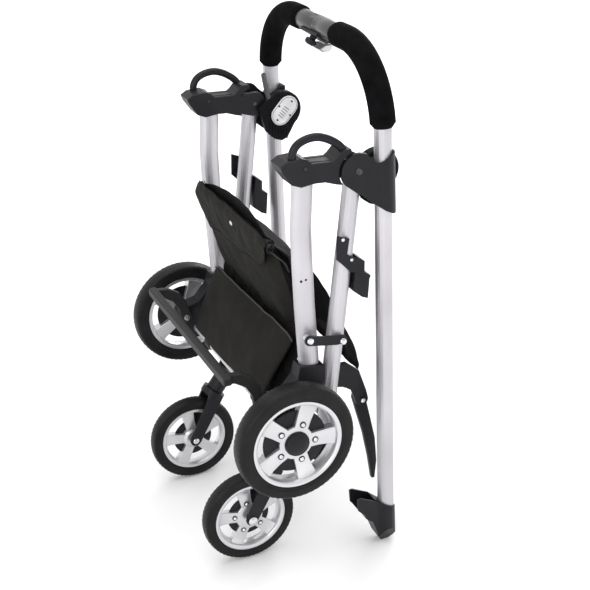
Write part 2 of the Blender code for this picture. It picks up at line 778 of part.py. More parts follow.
def build_rear_beam(label, side, finishes, parent):
    beam = prism(
        f"rear_beam_{label}", beam_outline(), side * TONGUE_IN, side * BEAM_OUT, finishes["plastic"], parent, 0.0015
    )
    tongue = stadium((0.046, 0.748), (PIVOT_Y, PIVOT_Z), 0.0120, 0.0230, 8)
    join(beam, prism("tongue", tongue, side * TONGUE_IN, side * TONGUE_OUT))
    eye = pin("eye", side * 0.19, side * 0.21, PIVOT_Y, PIVOT_Z, PIVOT_RADIUS + 0.0004)
    leg_space = tube(
        "leg_space",
        [(side * REAR_LEG_X, y, z) for y, z in [(0.003, 0.755 + GAP), (0.003, 0.725), (-0.003, 0.660)]],
        (REAR_LEG_HALF_X + GAP, REAR_LEG_HALF_Y + GAP),
        0,
        sides=24,
    )
    arc_space = tube("arc_space", carry_route(side), (0.0062 + GAP, 0.0062 + GAP), 0, sides=12)
    cut(beam, eye, leg_space, arc_space)
    tube(
        f"carry_arc_{label}", carry_route(side), (0.0062, 0.0062), 0, finishes["plastic"], parent, 12
    )


def carry_route(side):
    """The finger loop over the beam, from its rear socket to the socket beside the hub."""
    points = [
        (-0.0165, 0.7700),
        (-0.0185, 0.7820),
        (-0.0160, 0.7930),
        (-0.0070, 0.8030),
        (0.0080, 0.8095),
        (0.0260, 0.8105),
        (0.0430, 0.8060),
        (0.0580, 0.7975),
        (0.0690, 0.7880),
        (0.0730, 0.7800),
    ]
    return [(side * 0.2280, y, z) for y, z in points]


def build_rear_leg(label, side, finishes, parent):
    route = [(side * REAR_LEG_X, y, z) for y, z in REAR_LEG_ROUTE]
    tube(
        f"rear_leg_{label}",
        route,
        (REAR_LEG_HALF_X, REAR_LEG_HALF_Y),
        TUBE_WALL,
        finishes["aluminium"],
        parent,
        24,
    )
    build_casting(label, side, finishes, parent)


def build_casting(label, side, finishes, parent):
    """Joins the leg's lower end to the wheel spindle, with a lug for the brake bar."""
    outline = (
        [(0.0200, 0.4040), (-0.0240, 0.4120), (-0.0300, 0.3900), (-0.0560, 0.3620), (-0.0860, 0.3550)]
        + arc((BRAKE_Y, BRAKE_Z), 0.0130, 100, 215, 6)
        + arc((AXLE_Y, AXLE_Z), 0.0230, 190, 325, 8)
        + [(-0.0250, 0.3180), (0.0080, 0.3540), (0.0190, 0.3760)]
    )
    casting = prism(
        f"rear_casting_{label}", outline, side * CASTING_IN, side * CASTING_OUT, finishes["plastic"], parent, 0.0015
    )
    boss = pin("boss", side * 0.20, side * 0.2540, AXLE_Y, AXLE_Z, 0.0170, steps=20)
    spindle = pin("spindle", side * 0.25, side * 0.2860, AXLE_Y, AXLE_Z, SPINDLE_RADIUS)
    join(casting, boss, spindle)
    leg_space = tube(
        "leg_space",
        [(side * REAR_LEG_X, y, z) for y, z in [(-0.004, 0.520), (-0.001, 0.386 - GAP)]],
        (REAR_LEG_HALF_X + GAP, REAR_LEG_HALF_Y + GAP),
        0,
        sides=24,
    )
    brake_hole = pin("brake_hole", side * 0.18, side * 0.25, BRAKE_Y, BRAKE_Z, 0.0035 + GAP)
    cut(casting, leg_space, brake_hole)
    head = [
        (0.0, 0.0),
        (0.0, 0.0065),
        (0.0015, 0.0065),
        (0.0015, 0.0035),
        (0.0400, 0.0035),
        (0.0400, 0.0),
    ]
    start = Vector((side * (BRAKE_ARM_IN - 0.0020), BRAKE_Y, BRAKE_Z))
    place = Matrix.Translation(start) @ Matrix.Scale(side, 4, (1, 0, 0))
    turned(f"brake_pin_{label}", head, finishes["steel"], parent, 16, place)


def build_rear_wheel(label, side, finishes, parent):
    wheel = body(f"rear_wheel_{label}_axis", (side * WHEEL_X, AXLE_Y, AXLE_Z), parent)
    place = Matrix.Translation((side * WHEEL_X, AXLE_Y, AXLE_Z)) @ Matrix.Scale(side, 4, (1, 0, 0))
    tyre(f"rear_tyre_{label}", WHEEL_RADIUS, WHEEL_RIM, WHEEL_HALF, finishes["rubber"], wheel, place)
    half, bore = WHEEL_HALF - 0.0025, SPINDLE_RADIUS + 2 * GAP
    rim(f"rear_rim_{label}", WHEEL_RIM, half, 0.0220, bore, finishes["rim"], wheel, place)
    start = half + GAP
    cap = [(start, 0.0), (start, 0.0215), (start + 0.0022, 0.0205)]
    cap += [(start + 0.0040, 0.0160), (start + 0.0044, 0.0)]
    turned(f"hub_cap_{label}", cap, finishes["plastic"], wheel, 24, place)


def build_brake(finishes, parent):
    """A cross bar on two curved arms that turn on the castings."""
    bar = box(
        "brake_bar",
        (-BAR_HALF, BAR_Y - 0.0075, BAR_Z - 0.0080),
        (BAR_HALF, BAR_Y + 0.0075, BAR_Z + 0.0080),
        finishes["bar"],
        parent,
        0.0020,
    )
    outline = (
        arc((BRAKE_Y, BRAKE_Z), 0.0115, 250, 400, 6)
        + [(-0.0860, 0.3760), (-0.0980, 0.3950), (-0.1200, 0.4090), (-0.1440, 0.4120), (-0.1520, 0.4090)]
        + [(-0.1520, 0.3970), (-0.1320, 0.3930), (-0.1130, 0.3800), (-0.1020, 0.3600), (-0.0995, 0.3390)]
    )
    for side in SIDES.values():
        arm = prism("arm", outline, side * BRAKE_ARM_IN, side * BRAKE_ARM_OUT, bevel=0.0012)
        cut(arm, pin("hole", side * 0.17, side * 0.21, BRAKE_Y, BRAKE_Z, 0.0035 + 2 * GAP))
        join(bar, arm)


def build_rest_arm(label, side, finishes, root):
    """A bracket on the front leg and the tapered arm that hangs from it."""
    bracket = (
        [(0.0350, 0.3790), (0.0760, 0.3780), (0.1000, 0.3570), (0.1130, 0.3140)]
        + arc((REST_Y, REST_Z), 0.0125, 15, -150, 8)
        + [(0.0850, 0.3200), (0.0660, 0.3340), (0.0300, 0.3440)]
    )
    plate_in, plate_out = side * (REST_OUT + 0.0020), side * (LEG_X - TUBE_RADIUS - GAP)
    plate = prism(f"rest_bracket_{label}", bracket, plate_in, plate_out, finishes["plastic"], root, 0.0012)
    # The handle's foot slides up past the bracket's outer face behind the leg.
    near, far = sorted((side * (FOOT_IN - 0.0010), side * (LEG_X + TUBE_RADIUS)))
    cut(plate, box("relief", (near, 0.0695, 0.2500), (far, 0.2000, 0.4000)))
    shank = pin("shank", side * (REST_IN - 0.0010), side * 0.1960, REST_Y, REST_Z, 0.0035)
    head = pin("head", side * (REST_IN - 0.0022), side * (REST_IN - 0.0005), REST_Y, REST_Z, 0.0065)
    join(plate, shank, head)
    swing = body(f"rest_arm_{label}_axis", (side * REST_IN, REST_Y, REST_Z), root)
    outline = arc((REST_Y, REST_Z), 0.0120, 20, 190, 8) + [
        (0.1000, 0.2600),
        (0.1110, 0.2150),
        (0.1200, 0.1600),
        (0.1255, 0.1130),
        (0.1310, 0.1130),
        (0.1360, 0.1500),
        (0.1340, 0.2000),
        (0.1250, 0.2500),
    ]
    arm = prism(f"rest_arm_{label}", outline, side * REST_IN, side * REST_OUT, finishes["plastic"], swing, 0.0012)
    cut(arm, pin("hole", side * 0.17, side * 0.20, REST_Y, REST_Z, 0.0035 + 2 * GAP))


def build_hook(finishes, rear, front):
    """A strap that turns on the right rear leg and drops over a pin on the right front leg."""
    swing = body("storage_hook_axis", (HOOK_IN, HOOK_Y, HOOK_Z), rear)
    outline = (
        arc((HOOK_Y, HOOK_Z), 0.0090, 75, 255, 8)
        + [(0.0160, 0.4490), (0.0400, 0.4440), (0.0475, 0.4440)]
        + arc((HOOK_PIN_Y, HOOK_PIN_Z), 0.0038, 180, 0, 8)
        + [(0.0570, 0.4440), (0.0590, 0.4470), (0.0590, 0.4540), (0.0550, 0.4590), (0.0180, 0.4650)]
    )
    hook = prism("storage_hook", outline, HOOK_IN, HOOK_OUT, finishes["plastic"], swing, 0.0)
    cut(hook, pin("hole", 0.23, 0.25, HOOK_Y, HOOK_Z, 0.0030 + GAP))
    flat = REAR_LEG_X + REAR_LEG_HALF_X + 0.0012
    profile = [
        (0.0, 0.0),
        (0.0, 0.0065),
        (HOOK_IN - flat - 0.0006, 0.0065),
        (HOOK_IN - flat - 0.0006, 0.0030),
        (HOOK_OUT - flat + 0.0005, 0.0030),
        (HOOK_OUT - flat + 0.0005, 0.0058),
        (HOOK_OUT - flat + 0.0020, 0.0045),
        (HOOK_OUT - flat + 0.0020, 0.0),
    ]
    turned("hook_pivot", profile, finishes["steel"], rear, 16, Matrix.Translation((flat, HOOK_Y, HOOK_Z)))
    start = LEG_X + TUBE_RADIUS + GAP
    profile = [
        (0.0, 0.0),
        (0.0, 0.0034),
        (HOOK_OUT - start + 0.0005, 0.0034),
        (HOOK_OUT - start + 0.0005, 0.0060),
        (HOOK_OUT - start + 0.0020, 0.0046),
        (HOOK_OUT - start + 0.0020, 0.0),
    ]
    turned("hook_pin", profile, finishes["steel"], front, 16, Matrix.Translation((start, HOOK_PIN_Y, HOOK_PIN_Z)))


def build_basket(finishes, rear, front):
    """Plain closed solids in the folded basket's space."""
    flap = [(-0.0500, 0.6200), (-0.0400, 0.6250), (0.0060, 0.4400), (-0.0040, 0.4360)]
    prism("basket_flap", flap, -0.158, 0.158, finishes["fabric"], rear)
    panel = [(-0.0160, 0.4510), (-0.0080, 0.4520), (-0.0640, 0.3190), (-0.0720, 0.3230)]
    prism("basket_panel", panel, -0.166, 0.166, finishes["fabric"], rear)
    outer = [(-0.0080, 0.5990), (0.0340, 0.5560), (0.0720, 0.4850), (0.1000, 0.4260), (0.1290, 0.3300)]
    inner = [(y - 0.0080, z - 0.0040) for y, z in reversed(outer)]
    prism("basket_front", outer + inner, -0.170, 0.170, finishes["fabric"], front)


def build_cross_members(finishes, rear, front):
    z = 0.300
    half = LEG_X - TUBE_RADIUS - GAP
    ends = [(-half, leg_y(z), z), (half, leg_y(z), z)]
    tube("front_cross_tube", ends, (0.0110, 0.0110), 0.0015, finishes["aluminium"], front, 16, (0, 1, 0))
    half = CASTING_IN - GAP
    ends = [(-half, AXLE_Y, AXLE_Z), (half, AXLE_Y, AXLE_Z)]
    radius = AXLE_TUBE_RADIUS
    tube("rear_axle_tube", ends, (radius, radius), 0.0015, finishes["aluminium"], rear, 16, (0, 1, 0))


def main():
    clear_scene()
    finishes = make_materials()
    front = body("front_frame_axis", (0, 0, 0))
    rear = body("rear_frame_axis", (0, PIVOT_Y, PIVOT_Z), front)
    handle = body("handle_axis", (0, HANDLE_Y, 0), front)
    brake = body("brake_bar_axis", (0, BRAKE_Y, BRAKE_Z), rear)
    build_handle(finishes, handle)
    for label, side in SIDES.items():
        build_hub(label, side, finishes, front)
        build_front_leg(label, side, finishes, front)
        build_caster_housing(label, side, finishes, front)
        build_caster(label, side, finishes, front)
        build_rear_beam(label, side, finishes, rear)
        build_rear_leg(label, side, finishes, rear)
        build_rear_wheel(label, side, finishes, rear)
        build_rest_arm(label, side, finishes, front)
    build_brake(finishes, brake)
    build_hook(finishes, rear, front)
    build_basket(finishes, rear, front)
    build_cross_members(finishes, rear, front)
    front.location.y = ORIGIN_SHIFT


main()
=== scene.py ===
"""The looks of a folded trolley frame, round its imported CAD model. Metres, +Z up, +Y the handle's side."""

import json
import math

import bmesh
import bpy
from mathutils import Matrix, Vector, noise


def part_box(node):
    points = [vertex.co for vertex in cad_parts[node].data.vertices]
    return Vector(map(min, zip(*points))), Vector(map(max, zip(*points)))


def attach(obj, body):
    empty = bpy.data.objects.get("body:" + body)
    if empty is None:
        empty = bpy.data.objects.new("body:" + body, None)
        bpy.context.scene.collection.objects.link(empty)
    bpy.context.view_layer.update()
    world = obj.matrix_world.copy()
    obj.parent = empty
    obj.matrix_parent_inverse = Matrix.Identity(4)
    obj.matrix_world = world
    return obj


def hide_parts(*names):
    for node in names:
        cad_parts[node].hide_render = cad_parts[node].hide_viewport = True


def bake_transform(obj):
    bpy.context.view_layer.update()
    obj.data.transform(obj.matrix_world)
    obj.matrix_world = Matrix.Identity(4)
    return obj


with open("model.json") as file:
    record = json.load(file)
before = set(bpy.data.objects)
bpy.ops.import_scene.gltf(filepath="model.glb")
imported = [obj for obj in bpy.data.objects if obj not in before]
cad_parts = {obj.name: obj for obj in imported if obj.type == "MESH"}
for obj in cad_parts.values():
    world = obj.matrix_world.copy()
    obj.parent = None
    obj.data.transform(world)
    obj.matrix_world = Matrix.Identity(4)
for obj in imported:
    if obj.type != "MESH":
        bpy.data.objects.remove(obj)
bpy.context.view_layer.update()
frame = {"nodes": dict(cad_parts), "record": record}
SIDES = {"left": -1, "right": 1}

# The view: camera place, its right and up directions, and its lens.
CAMERA_AT = (1.88599, -0.71066, 1.41622)
CAMERA_RIGHT = (0.40808, 0.91150, -0.05135)
CAMERA_UP = (-0.37875, 0.22021, 0.89892)
CAMERA_LENS = 73.92


def middle(node):
    """The middle of a CAD node's box."""
    low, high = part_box(node)
    return (low + high) / 2


# ---------------------------------------------------------------- materials


class Shader:
    """A Principled material that is built up from procedural nodes, in object space."""

    def __init__(self, name, roughness, metallic=0.0):
        self.material = bpy.data.materials.new(name)
        self.material.use_nodes = True
        self.tree = self.material.node_tree
        self.bsdf = self.tree.nodes["Principled BSDF"]
        self.bsdf.inputs["Roughness"].default_value = roughness
        self.bsdf.inputs["Metallic"].default_value = metallic
        self.place = self.add("ShaderNodeTexCoord").outputs["Object"]
        self.normal = None

    def add(self, kind, **values):
        node = self.tree.nodes.new(kind)
        for key, value in values.items():
            if key in node.inputs:
                node.inputs[key].default_value = value
            else:
                setattr(node, key, value)
        return node

    def link(self, output, node, socket):
        self.tree.links.new(output, node.inputs[socket])

    def stretched(self, scale):
        node = self.add("ShaderNodeMapping")
        node.inputs["Scale"].default_value = scale
        self.link(self.place, node, "Vector")
        return node.outputs["Vector"]

    def noise(self, scale, detail=3.0, stretch=None):
        node = self.add("ShaderNodeTexNoise", Scale=scale, Detail=detail)
        self.link(self.stretched(stretch) if stretch else self.place, node, "Vector")
        return node.outputs["Fac"]

    def cells(self, scale):
        node = self.add("ShaderNodeTexVoronoi", Scale=scale)
        self.link(self.place, node, "Vector")
        return node.outputs["Distance"]

    def bands(self, direction, period, wobble=0.0):
        """Parallel threads or ribs, a period apart in metres."""
        node = self.add("ShaderNodeTexWave", bands_direction=direction, Scale=math.pi / 10 / period)
        node.inputs["Distortion"].default_value = wobble
        self.link(self.place, node, "Vector")
        return node.outputs["Fac"]

    def math(self, operation, first, second):
        node = self.add("ShaderNodeMath", operation=operation)
        for index, value in enumerate((first, second)):
            if isinstance(value, (int, float)):
                node.inputs[index].default_value = value
            else:
                self.tree.links.new(value, node.inputs[index])
        return node.outputs[0]

    def colour(self, value, dark, light, low=0.3, high=0.7):
        """Colours the surface from dark to light as value goes from low to high."""
        ramp = self.add("ShaderNodeValToRGB")
        ends = ramp.color_ramp.elements
        ends[0].position, ends[1].position = low, high
        ends[0].color, ends[1].color = (*dark, 1), (*light, 1)
        self.link(value, ramp, "Fac")
        self.link(ramp.outputs["Color"], self.bsdf, "Base Color")

    def rough(self, value, low, high):
        node = self.add("ShaderNodeMapRange")
        node.inputs["To Min"].default_value = low
        node.inputs["To Max"].default_value = high
        self.link(value, node, "Value")
        self.link(node.outputs["Result"], self.bsdf, "Roughness")

    def bump(self, height, distance, strength=1.0):
        node = self.add("ShaderNodeBump", Strength=strength, Distance=distance)
        self.link(height, node, "Height")
        if self.normal:
            self.link(self.normal, node, "Normal")
        self.normal = node.outputs["Normal"]
        self.link(self.normal, self.bsdf, "Normal")

    def coat(self, weight, roughness):
        self.bsdf.inputs["Coat Weight"].default_value = weight
        self.bsdf.inputs["Coat Roughness"].default_value = roughness

    def specular(self, level):
        self.bsdf.inputs["Specular IOR Level"].default_value = level

    def sheen(self, weight):
        self.bsdf.inputs["Sheen Weight"].default_value = weight
        self.bsdf.inputs["Sheen Roughness"].default_value = 0.5


def aluminium():
    """Satin anodised tube, drawn along its length."""
    made = Shader("aluminium", 0.40, 0.80)
    made.colour(made.noise(9.0), (0.485, 0.473, 0.498), (0.572, 0.557, 0.584))
    drawn = made.noise(60.0, 4.0, (14.0, 14.0, 0.35))
    made.rough(drawn, 0.36, 0.50)
    made.bump(drawn, 0.00012, 0.25)
    return made.material


def black_plastic(name="black_plastic", specular=0.22, shade=1.0):
    """Moulded nylon with a fine spark-eroded grain. A shade below 1 darkens both colours, making a copy with
    painted shade.
    """
    made = Shader(name, 0.42)
    made.specular(specular)
    dark, light = (0.0060, 0.0060, 0.0082), (0.0105, 0.0105, 0.0135)
    made.colour(made.noise(22.0), [shade * part for part in dark], [shade * part for part in light])
    made.rough(made.noise(120.0), 0.36, 0.50)
    made.bump(made.noise(1500.0, 2.0), 0.00010, 0.35)
    return made.material


def foam():
    """Closed-cell grip foam with a skin of tiny pores."""
    made = Shader("foam", 0.92)
    made.specular(0.04)
    made.colour(made.noise(45.0, 5.0), (0.0024, 0.0024, 0.0029), (0.0056, 0.0055, 0.0061))
    made.bump(made.noise(700.0, 4.0), 0.0004, 0.6)
    made.bump(made.cells(1300.0), 0.00025, 0.5)
    return made.material


def tyre_rubber():
    made = Shader("tyre_rubber", 0.55)
    made.specular(0.17)
    made.colour(made.noise(30.0, 4.0), (0.0052, 0.0050, 0.0050), (0.0110, 0.0105, 0.0103))
    made.rough(made.noise(60.0), 0.34, 0.56)
    made.bump(made.noise(900.0, 3.0), 0.00015, 0.4)
    return made.material


def rim_silver():
    """Silver-painted plastic with a faint flake."""
    made = Shader("rim_silver", 0.30, 0.75)
    made.colour(made.noise(14.0), (0.56, 0.555, 0.575), (0.66, 0.655, 0.675))
    made.bump(made.noise(2200.0, 1.0), 0.00005, 0.3)
    made.coat(0.35, 0.15)
    return made.material


def satin_silver():
    made = Shader("satin_silver", 0.34, 0.85)
    brushed = made.noise(260.0, 3.0, (1.0, 1.0, 0.08))
    made.colour(made.noise(40.0), (0.50, 0.50, 0.51), (0.66, 0.66, 0.67))
    made.rough(brushed, 0.26, 0.42)
    made.bump(brushed, 0.00008, 0.3)
    return made.material


def dark_steel():
    """Blackened fasteners."""
    made = Shader("dark_steel", 0.34, 0.8)
    made.colour(made.noise(90.0), (0.030, 0.030, 0.034), (0.075, 0.075, 0.080))
    made.rough(made.noise(200.0), 0.24, 0.42)
    return made.material


def bright_steel():
    made = Shader("bright_steel", 0.20, 1.0)
    made.colour(made.noise(90.0), (0.60, 0.60, 0.62), (0.76, 0.76, 0.78))
    made.rough(made.noise(200.0), 0.14, 0.28)
    return made.material


def woven(name, dark, light, period, sheen):
    """Plain-weave polyester: warp over weft, with slubs and faded patches."""
    made = Shader(name, 0.85)
    made.specular(0.12)
    warp = made.bands("X", period, 0.4)
    weft = made.bands("Z", period, 0.4)
    weave = made.math("MULTIPLY", warp, weft)
    patches = made.noise(16.0, 5.0)
    slubs = made.noise(240.0, 2.0, (0.15, 1.0, 1.0))
    tone = made.math("ADD", made.math("MULTIPLY", weave, 0.35), made.math("MULTIPLY", patches, 0.55))
    made.colour(made.math("ADD", tone, made.math("MULTIPLY", slubs, 0.15)), dark, light, 0.25, 0.75)
    made.bump(weave, 0.0005, 0.7)
    made.bump(patches, 0.0030, 0.35)
    made.sheen(sheen)
    return made.material


def webbing():
    """Narrow woven strap with ribs across it."""
    made = Shader("webbing", 0.7)
    ribs = made.bands("Z", 0.0016, 0.2)
    tone = made.math("ADD", ribs, made.noise(60.0))
    made.colour(tone, (0.008, 0.008, 0.009), (0.028, 0.028, 0.030), 0.5, 1.5)
    made.bump(ribs, 0.0004, 0.8)
    return made.material


def piping_cord():
    made = Shader("piping_cord", 0.7)
    made.colour(made.bands("X", 0.0025, 0.3), (0.018, 0.016, 0.014), (0.045, 0.041, 0.036), 0.1, 0.9)
    made.bump(made.bands("X", 0.0016), 0.0003, 0.6)
    return made.material


def brake_paint():
    """Dark grey satin powder coat."""
    made = Shader("brake_paint", 0.55)
    made.specular(0.25)
    made.colour(made.noise(300.0, 4.0), (0.0120, 0.0120, 0.0125), (0.0200, 0.0200, 0.0205))
    made.bump(made.noise(900.0, 2.0), 0.00012, 0.4)
    return made.material


def cover_grey():
    made = Shader("cover_grey", 0.30, 0.55)
    made.colour(made.noise(30.0), (0.058, 0.058, 0.060), (0.072, 0.072, 0.075))
    made.rough(made.noise(150.0), 0.26, 0.34)
    made.coat(0.12, 0.1)
    return made.material


def floor_paper():
    """White paper that brightens away from the object, so that its far end stays white."""
    made = Shader("floor_paper", 0.9)
    made.colour(made.noise(2.0), (0.76, 0.76, 0.764), (0.79, 0.79, 0.794))
    made.specular(0.0)
    made.bsdf.inputs["Emission Color"].default_value = (1.0, 1.0, 1.0, 1.0)
    reach = made.add("ShaderNodeVectorMath", operation="LENGTH")
    made.link(made.place, reach, 0)
    near_and_far = {"From Min": 0.8, "From Max": 2.6, "To Min": 0.06, "To Max": 0.42}
    glow = made.add("ShaderNodeMapRange", **near_and_far)
    made.link(reach.outputs["Value"], glow, "Value")
    made.link(glow.outputs["Result"], made.bsdf, "Emission Strength")
    return made.material


MATERIALS = {
    "aluminium_tube": aluminium(),
    "black_plastic": black_plastic(),
    "foam": foam(),
    "tyre": tyre_rubber(),
    "rim_silver": rim_silver(),
    "satin_silver": satin_silver(),
    "steel": bright_steel(),
    "brake_grey": brake_paint(),
    "cover_grey": cover_grey(),
    "fabric": woven("fabric", (0.0070, 0.0066, 0.0057), (0.0185, 0.0177, 0.0156), 0.0022, 0.01),
}
BLACK_CLOTH = woven("black_cloth", (0.0035, 0.0035, 0.0040), (0.0100, 0.0100, 0.0105), 0.0018, 0.01)
DARK_STEEL = dark_steel()
# The drums' black plastic at half its colour: painted shade, because the drums' sides lie in shade. It is
# also less glossy.
DRUM_BLACK_PAINTED_SHADE = black_plastic("drum_black_painted_shade", 0.07, 0.5)
WEBBING = webbing()
PIPING = piping_cord()


# ---------------------------------------------------------------- mesh tools


def new_piece(name, mesh, material, angle=35):
    """Turns a bmesh into a piece with a finish, smooth up to an angle."""
    bmesh.ops.remove_doubles(mesh, verts=mesh.verts, dist=1e-6)
    bmesh.ops.recalc_face_normals(mesh, faces=mesh.faces)
    data = bpy.data.meshes.new(name)
    mesh.to_mesh(data)
    mesh.free()
    data.shade_smooth()
    data.set_sharp_from_angle(angle=math.radians(angle))
    data.materials.append(material)
    piece = bpy.data.objects.new(name, data)
    bpy.context.scene.collection.objects.link(piece)
    return piece


def revolve(mesh, profile, centre, axis=(1, 0, 0), steps=72, ripple=None):
    """Turns (along, radius) points about an axis through centre. ripple(i, k) moves a point's radius."""
    axis = Vector(axis).normalized()
    side = axis.orthogonal().normalized()
    other = axis.cross(side)
    rings = []
    for step in range(steps):
        angle = 2 * math.pi * step / steps
        out = side * math.cos(angle) + other * math.sin(angle)
        ring = []
        for k, (along, radius) in enumerate(profile):
            shift = ripple(step, k) if ripple else 0.0
            ring.append(mesh.verts.new(Vector(centre) + axis * along + out * (radius + shift)))
        rings.append(ring)
    count = len(profile)
    closed = profile[0][1] > 0 and profile[-1][1] > 0
    for step in range(steps):
        here, after = rings[step], rings[(step + 1) % steps]
        for k in range(count if closed else count - 1):
            nxt = (k + 1) % count
            corners = [here[k], here[nxt], after[nxt], after[k]]
            mesh.faces.new(corners)
    bmesh.ops.remove_doubles(mesh, verts=mesh.verts, dist=1e-7)


def smooth_route(points, steps=6):
    """A Catmull-Rom curve through points."""
    points = [Vector(p) for p in points]
    last = len(points) - 1
    route = []
    for i in range(last):
        a, b = points[max(i - 1, 0)], points[i]
        c, d = points[i + 1], points[min(i + 2, last)]
        for s in range(steps):
            t = s / steps
            route.append(
                0.5
                * (
                    2 * b
                    + (c - a) * t
                    + (2 * a - 5 * b + 4 * c - d) * t * t
                    + (3 * b - a - 3 * c + d) * t * t * t
                )
            )
    return route + [points[-1]]


def join_rings(mesh, rings):
    """Joins rings of points, each of the same count, into one closed body with flat ends."""
    sides = len(rings[0])
    for here, after in zip(rings, rings[1:]):
        for s in range(sides):
            t = (s + 1) % sides
            mesh.faces.new([here[s], here[t], after[t], after[s]])
    mesh.faces.new(list(reversed(rings[0])))
    mesh.faces.new(rings[-1])


def sweep(mesh, route, half, across=(1, 0, 0), sides=16, ends=0.0):
    """A closed bar along a route. half is (across, other) half sizes; ends rounds each end by that length."""
    route = [Vector(p) for p in route]
    across = Vector(across)
    travelled = [0.0]
    for a, b in zip(route, route[1:]):
        travelled.append(travelled[-1] + (b - a).length)
    rings = []
    for i, point in enumerate(route):
        along = (route[min(i + 1, len(route) - 1)] - route[max(i - 1, 0)]).normalized()
        first = (across - along * across.dot(along)).normalized()
        second = along.cross(first)
        near = min(travelled[i], travelled[-1] - travelled[i])
        shrink = 1.0
        if ends and near < ends:
            shrink = 0.72 + 0.28 * math.sqrt(max(0.0, 1 - (1 - near / ends) ** 2))
        ring = []
        for s in range(sides):
            angle = 2 * math.pi * s / sides
            offset = first * half[0] * math.cos(angle) + second * half[1] * math.sin(angle)
            ring.append(mesh.verts.new(point + offset * shrink))
        rings.append(ring)
    join_rings(mesh, rings)


def strap(mesh, route, wide, thick, across):
    """A flat strap along a route."""
    sweep(mesh, route, (wide / 2, thick / 2), across, sides=12)


def grid(mesh, place, columns, rows):
    """A sheet whose point at (u, v), each from 0 to 1, is place(u, v)."""
    points = []
    for j in range(rows + 1):
        points.append([mesh.verts.new(place(i / columns, j / rows)) for i in range(columns + 1)])
    for j in range(rows):
        for i in range(columns):
            corners = [points[j][i], points[j][i + 1], points[j + 1][i + 1], points[j + 1][i]]
            mesh.faces.new(corners)


def add_bevel(piece, width, segments=3, angle=30):
    made = piece.modifiers.new("edge", "BEVEL")
    made.width = width
    made.segments = segments
    made.limit_method = "ANGLE"
    made.angle_limit = math.radians(angle)
    made.harden_normals = False
    return piece


def add_thickness(piece, thickness, smooth=1):
    made = piece.modifiers.new("cloth", "SOLIDIFY")
    made.thickness = thickness
    made.offset = 0
    if smooth:
        rounded = piece.modifiers.new("round", "SUBSURF")
        rounded.levels = rounded.render_levels = smooth
    return piece


def dome(mesh, centre, radius, height, axis):
    """A rivet or screw head that stands on centre, along an axis."""
    base = -0.0006
    profile = [
        (base, 0.0),
        (base, radius),
        (height * 0.30, radius),
        (height * 0.75, radius * 0.80),
        (height * 0.98, radius * 0.45),
        (height, 0.0),
    ]
    revolve(mesh, profile, centre, axis, steps=24)


def recessed_screw(mesh, centre, radius, axis):
    """A pan head with a hex recess, on centre."""
    profile = [
        (-0.0005, 0.0),
        (-0.0005, radius),
        (0.0006, radius),
        (0.0012, radius * 0.85),
        (0.0012, radius * 0.42),
        (0.0003, radius * 0.40),
        (0.0003, 0.0),
    ]
    revolve(mesh, profile, centre, axis, steps=24)


# ---------------------------------------------------------------- wheels

SPOKES = 5
# The spokes and nuts are drawn for a rim of this radius and scaled to the others.
DRAWN_RIM = 0.080
SPOKE_TURN = {"rear": math.radians(-5), "front": math.radians(26)}


def tyre_profile(half, radius, seat):
    """One tyre's section: bead, bulged side with a moulded step, shoulder and flat crown."""
    wall = radius - seat
    side = [
        (half * 0.72, seat + 0.0003),
        (half * 0.90, seat + 0.0020),
        (half * 0.955, seat + 0.22 * wall),
        (half * 0.93, seat + 0.26 * wall),
        (half * 0.99, seat + 0.34 * wall),
        (half * 0.995, seat + 0.56 * wall),
        (half * 0.93, seat + 0.80 * wall),
        (half * 0.80, seat + 0.91 * wall),
        (half * 0.60, radius - 0.0012),
        (half * 0.30, radius - 0.0003),
    ]
    return side + [(0.0, radius)] + [(-along, r) for along, r in reversed(side)]


def tread(step, k):
    """Shallow zigzag blocks on the crown and shoulders."""
    if not 7 <= k <= 13:
        return 0.0
    return -0.0007 if (step + abs(10 - k)) % 3 == 0 else 0.0


def make_tyre(name, node, half, radius, seat):
    mesh = bmesh.new()
    revolve(mesh, tyre_profile(half, radius, seat), middle(node), steps=180, ripple=tread)
    return new_piece(name, mesh, MATERIALS["tyre"], 25)


def spoke_section(width, face, back):
    """The corners of one spoke's section as (along the axle, across), with a shallow raised middle."""
    rise = 0.0010
    return [
        (back, -width * 0.92),
        (face - rise, -width),
        (face, -width * 0.86),
        (face, width * 0.86),
        (face - rise, width),
        (back, width * 0.92),
    ]


def add_spoke(mesh, centre, out, angle, half, seat):
    """A deep, flat-faced spoke that widens into the rim, from hub to barrel."""
    radial = Vector((0, math.cos(angle), math.sin(angle)))
    across = Vector((0, -math.sin(angle), math.cos(angle)))
    axle = Vector((out, 0, 0))
    stations = [
        (0.0150, 0.0115, 0.52),
        (seat * 0.36, 0.0128, 0.55),
        (seat * 0.55, 0.0135, 0.46),
        (seat * 0.75, 0.0150, 0.46),
        (seat * 0.90, 0.0172, 0.60),
        (seat - 0.0040, 0.0205, 0.74),
    ]
    scale = seat / DRAWN_RIM
    rings = []
    for reach, width, face in stations:
        section = spoke_section(width * scale, half * face, -half * 0.55)
        rings.append([mesh.verts.new(centre + radial * reach + axle * a + across * w) for a, w in section])
    join_rings(mesh, rings)


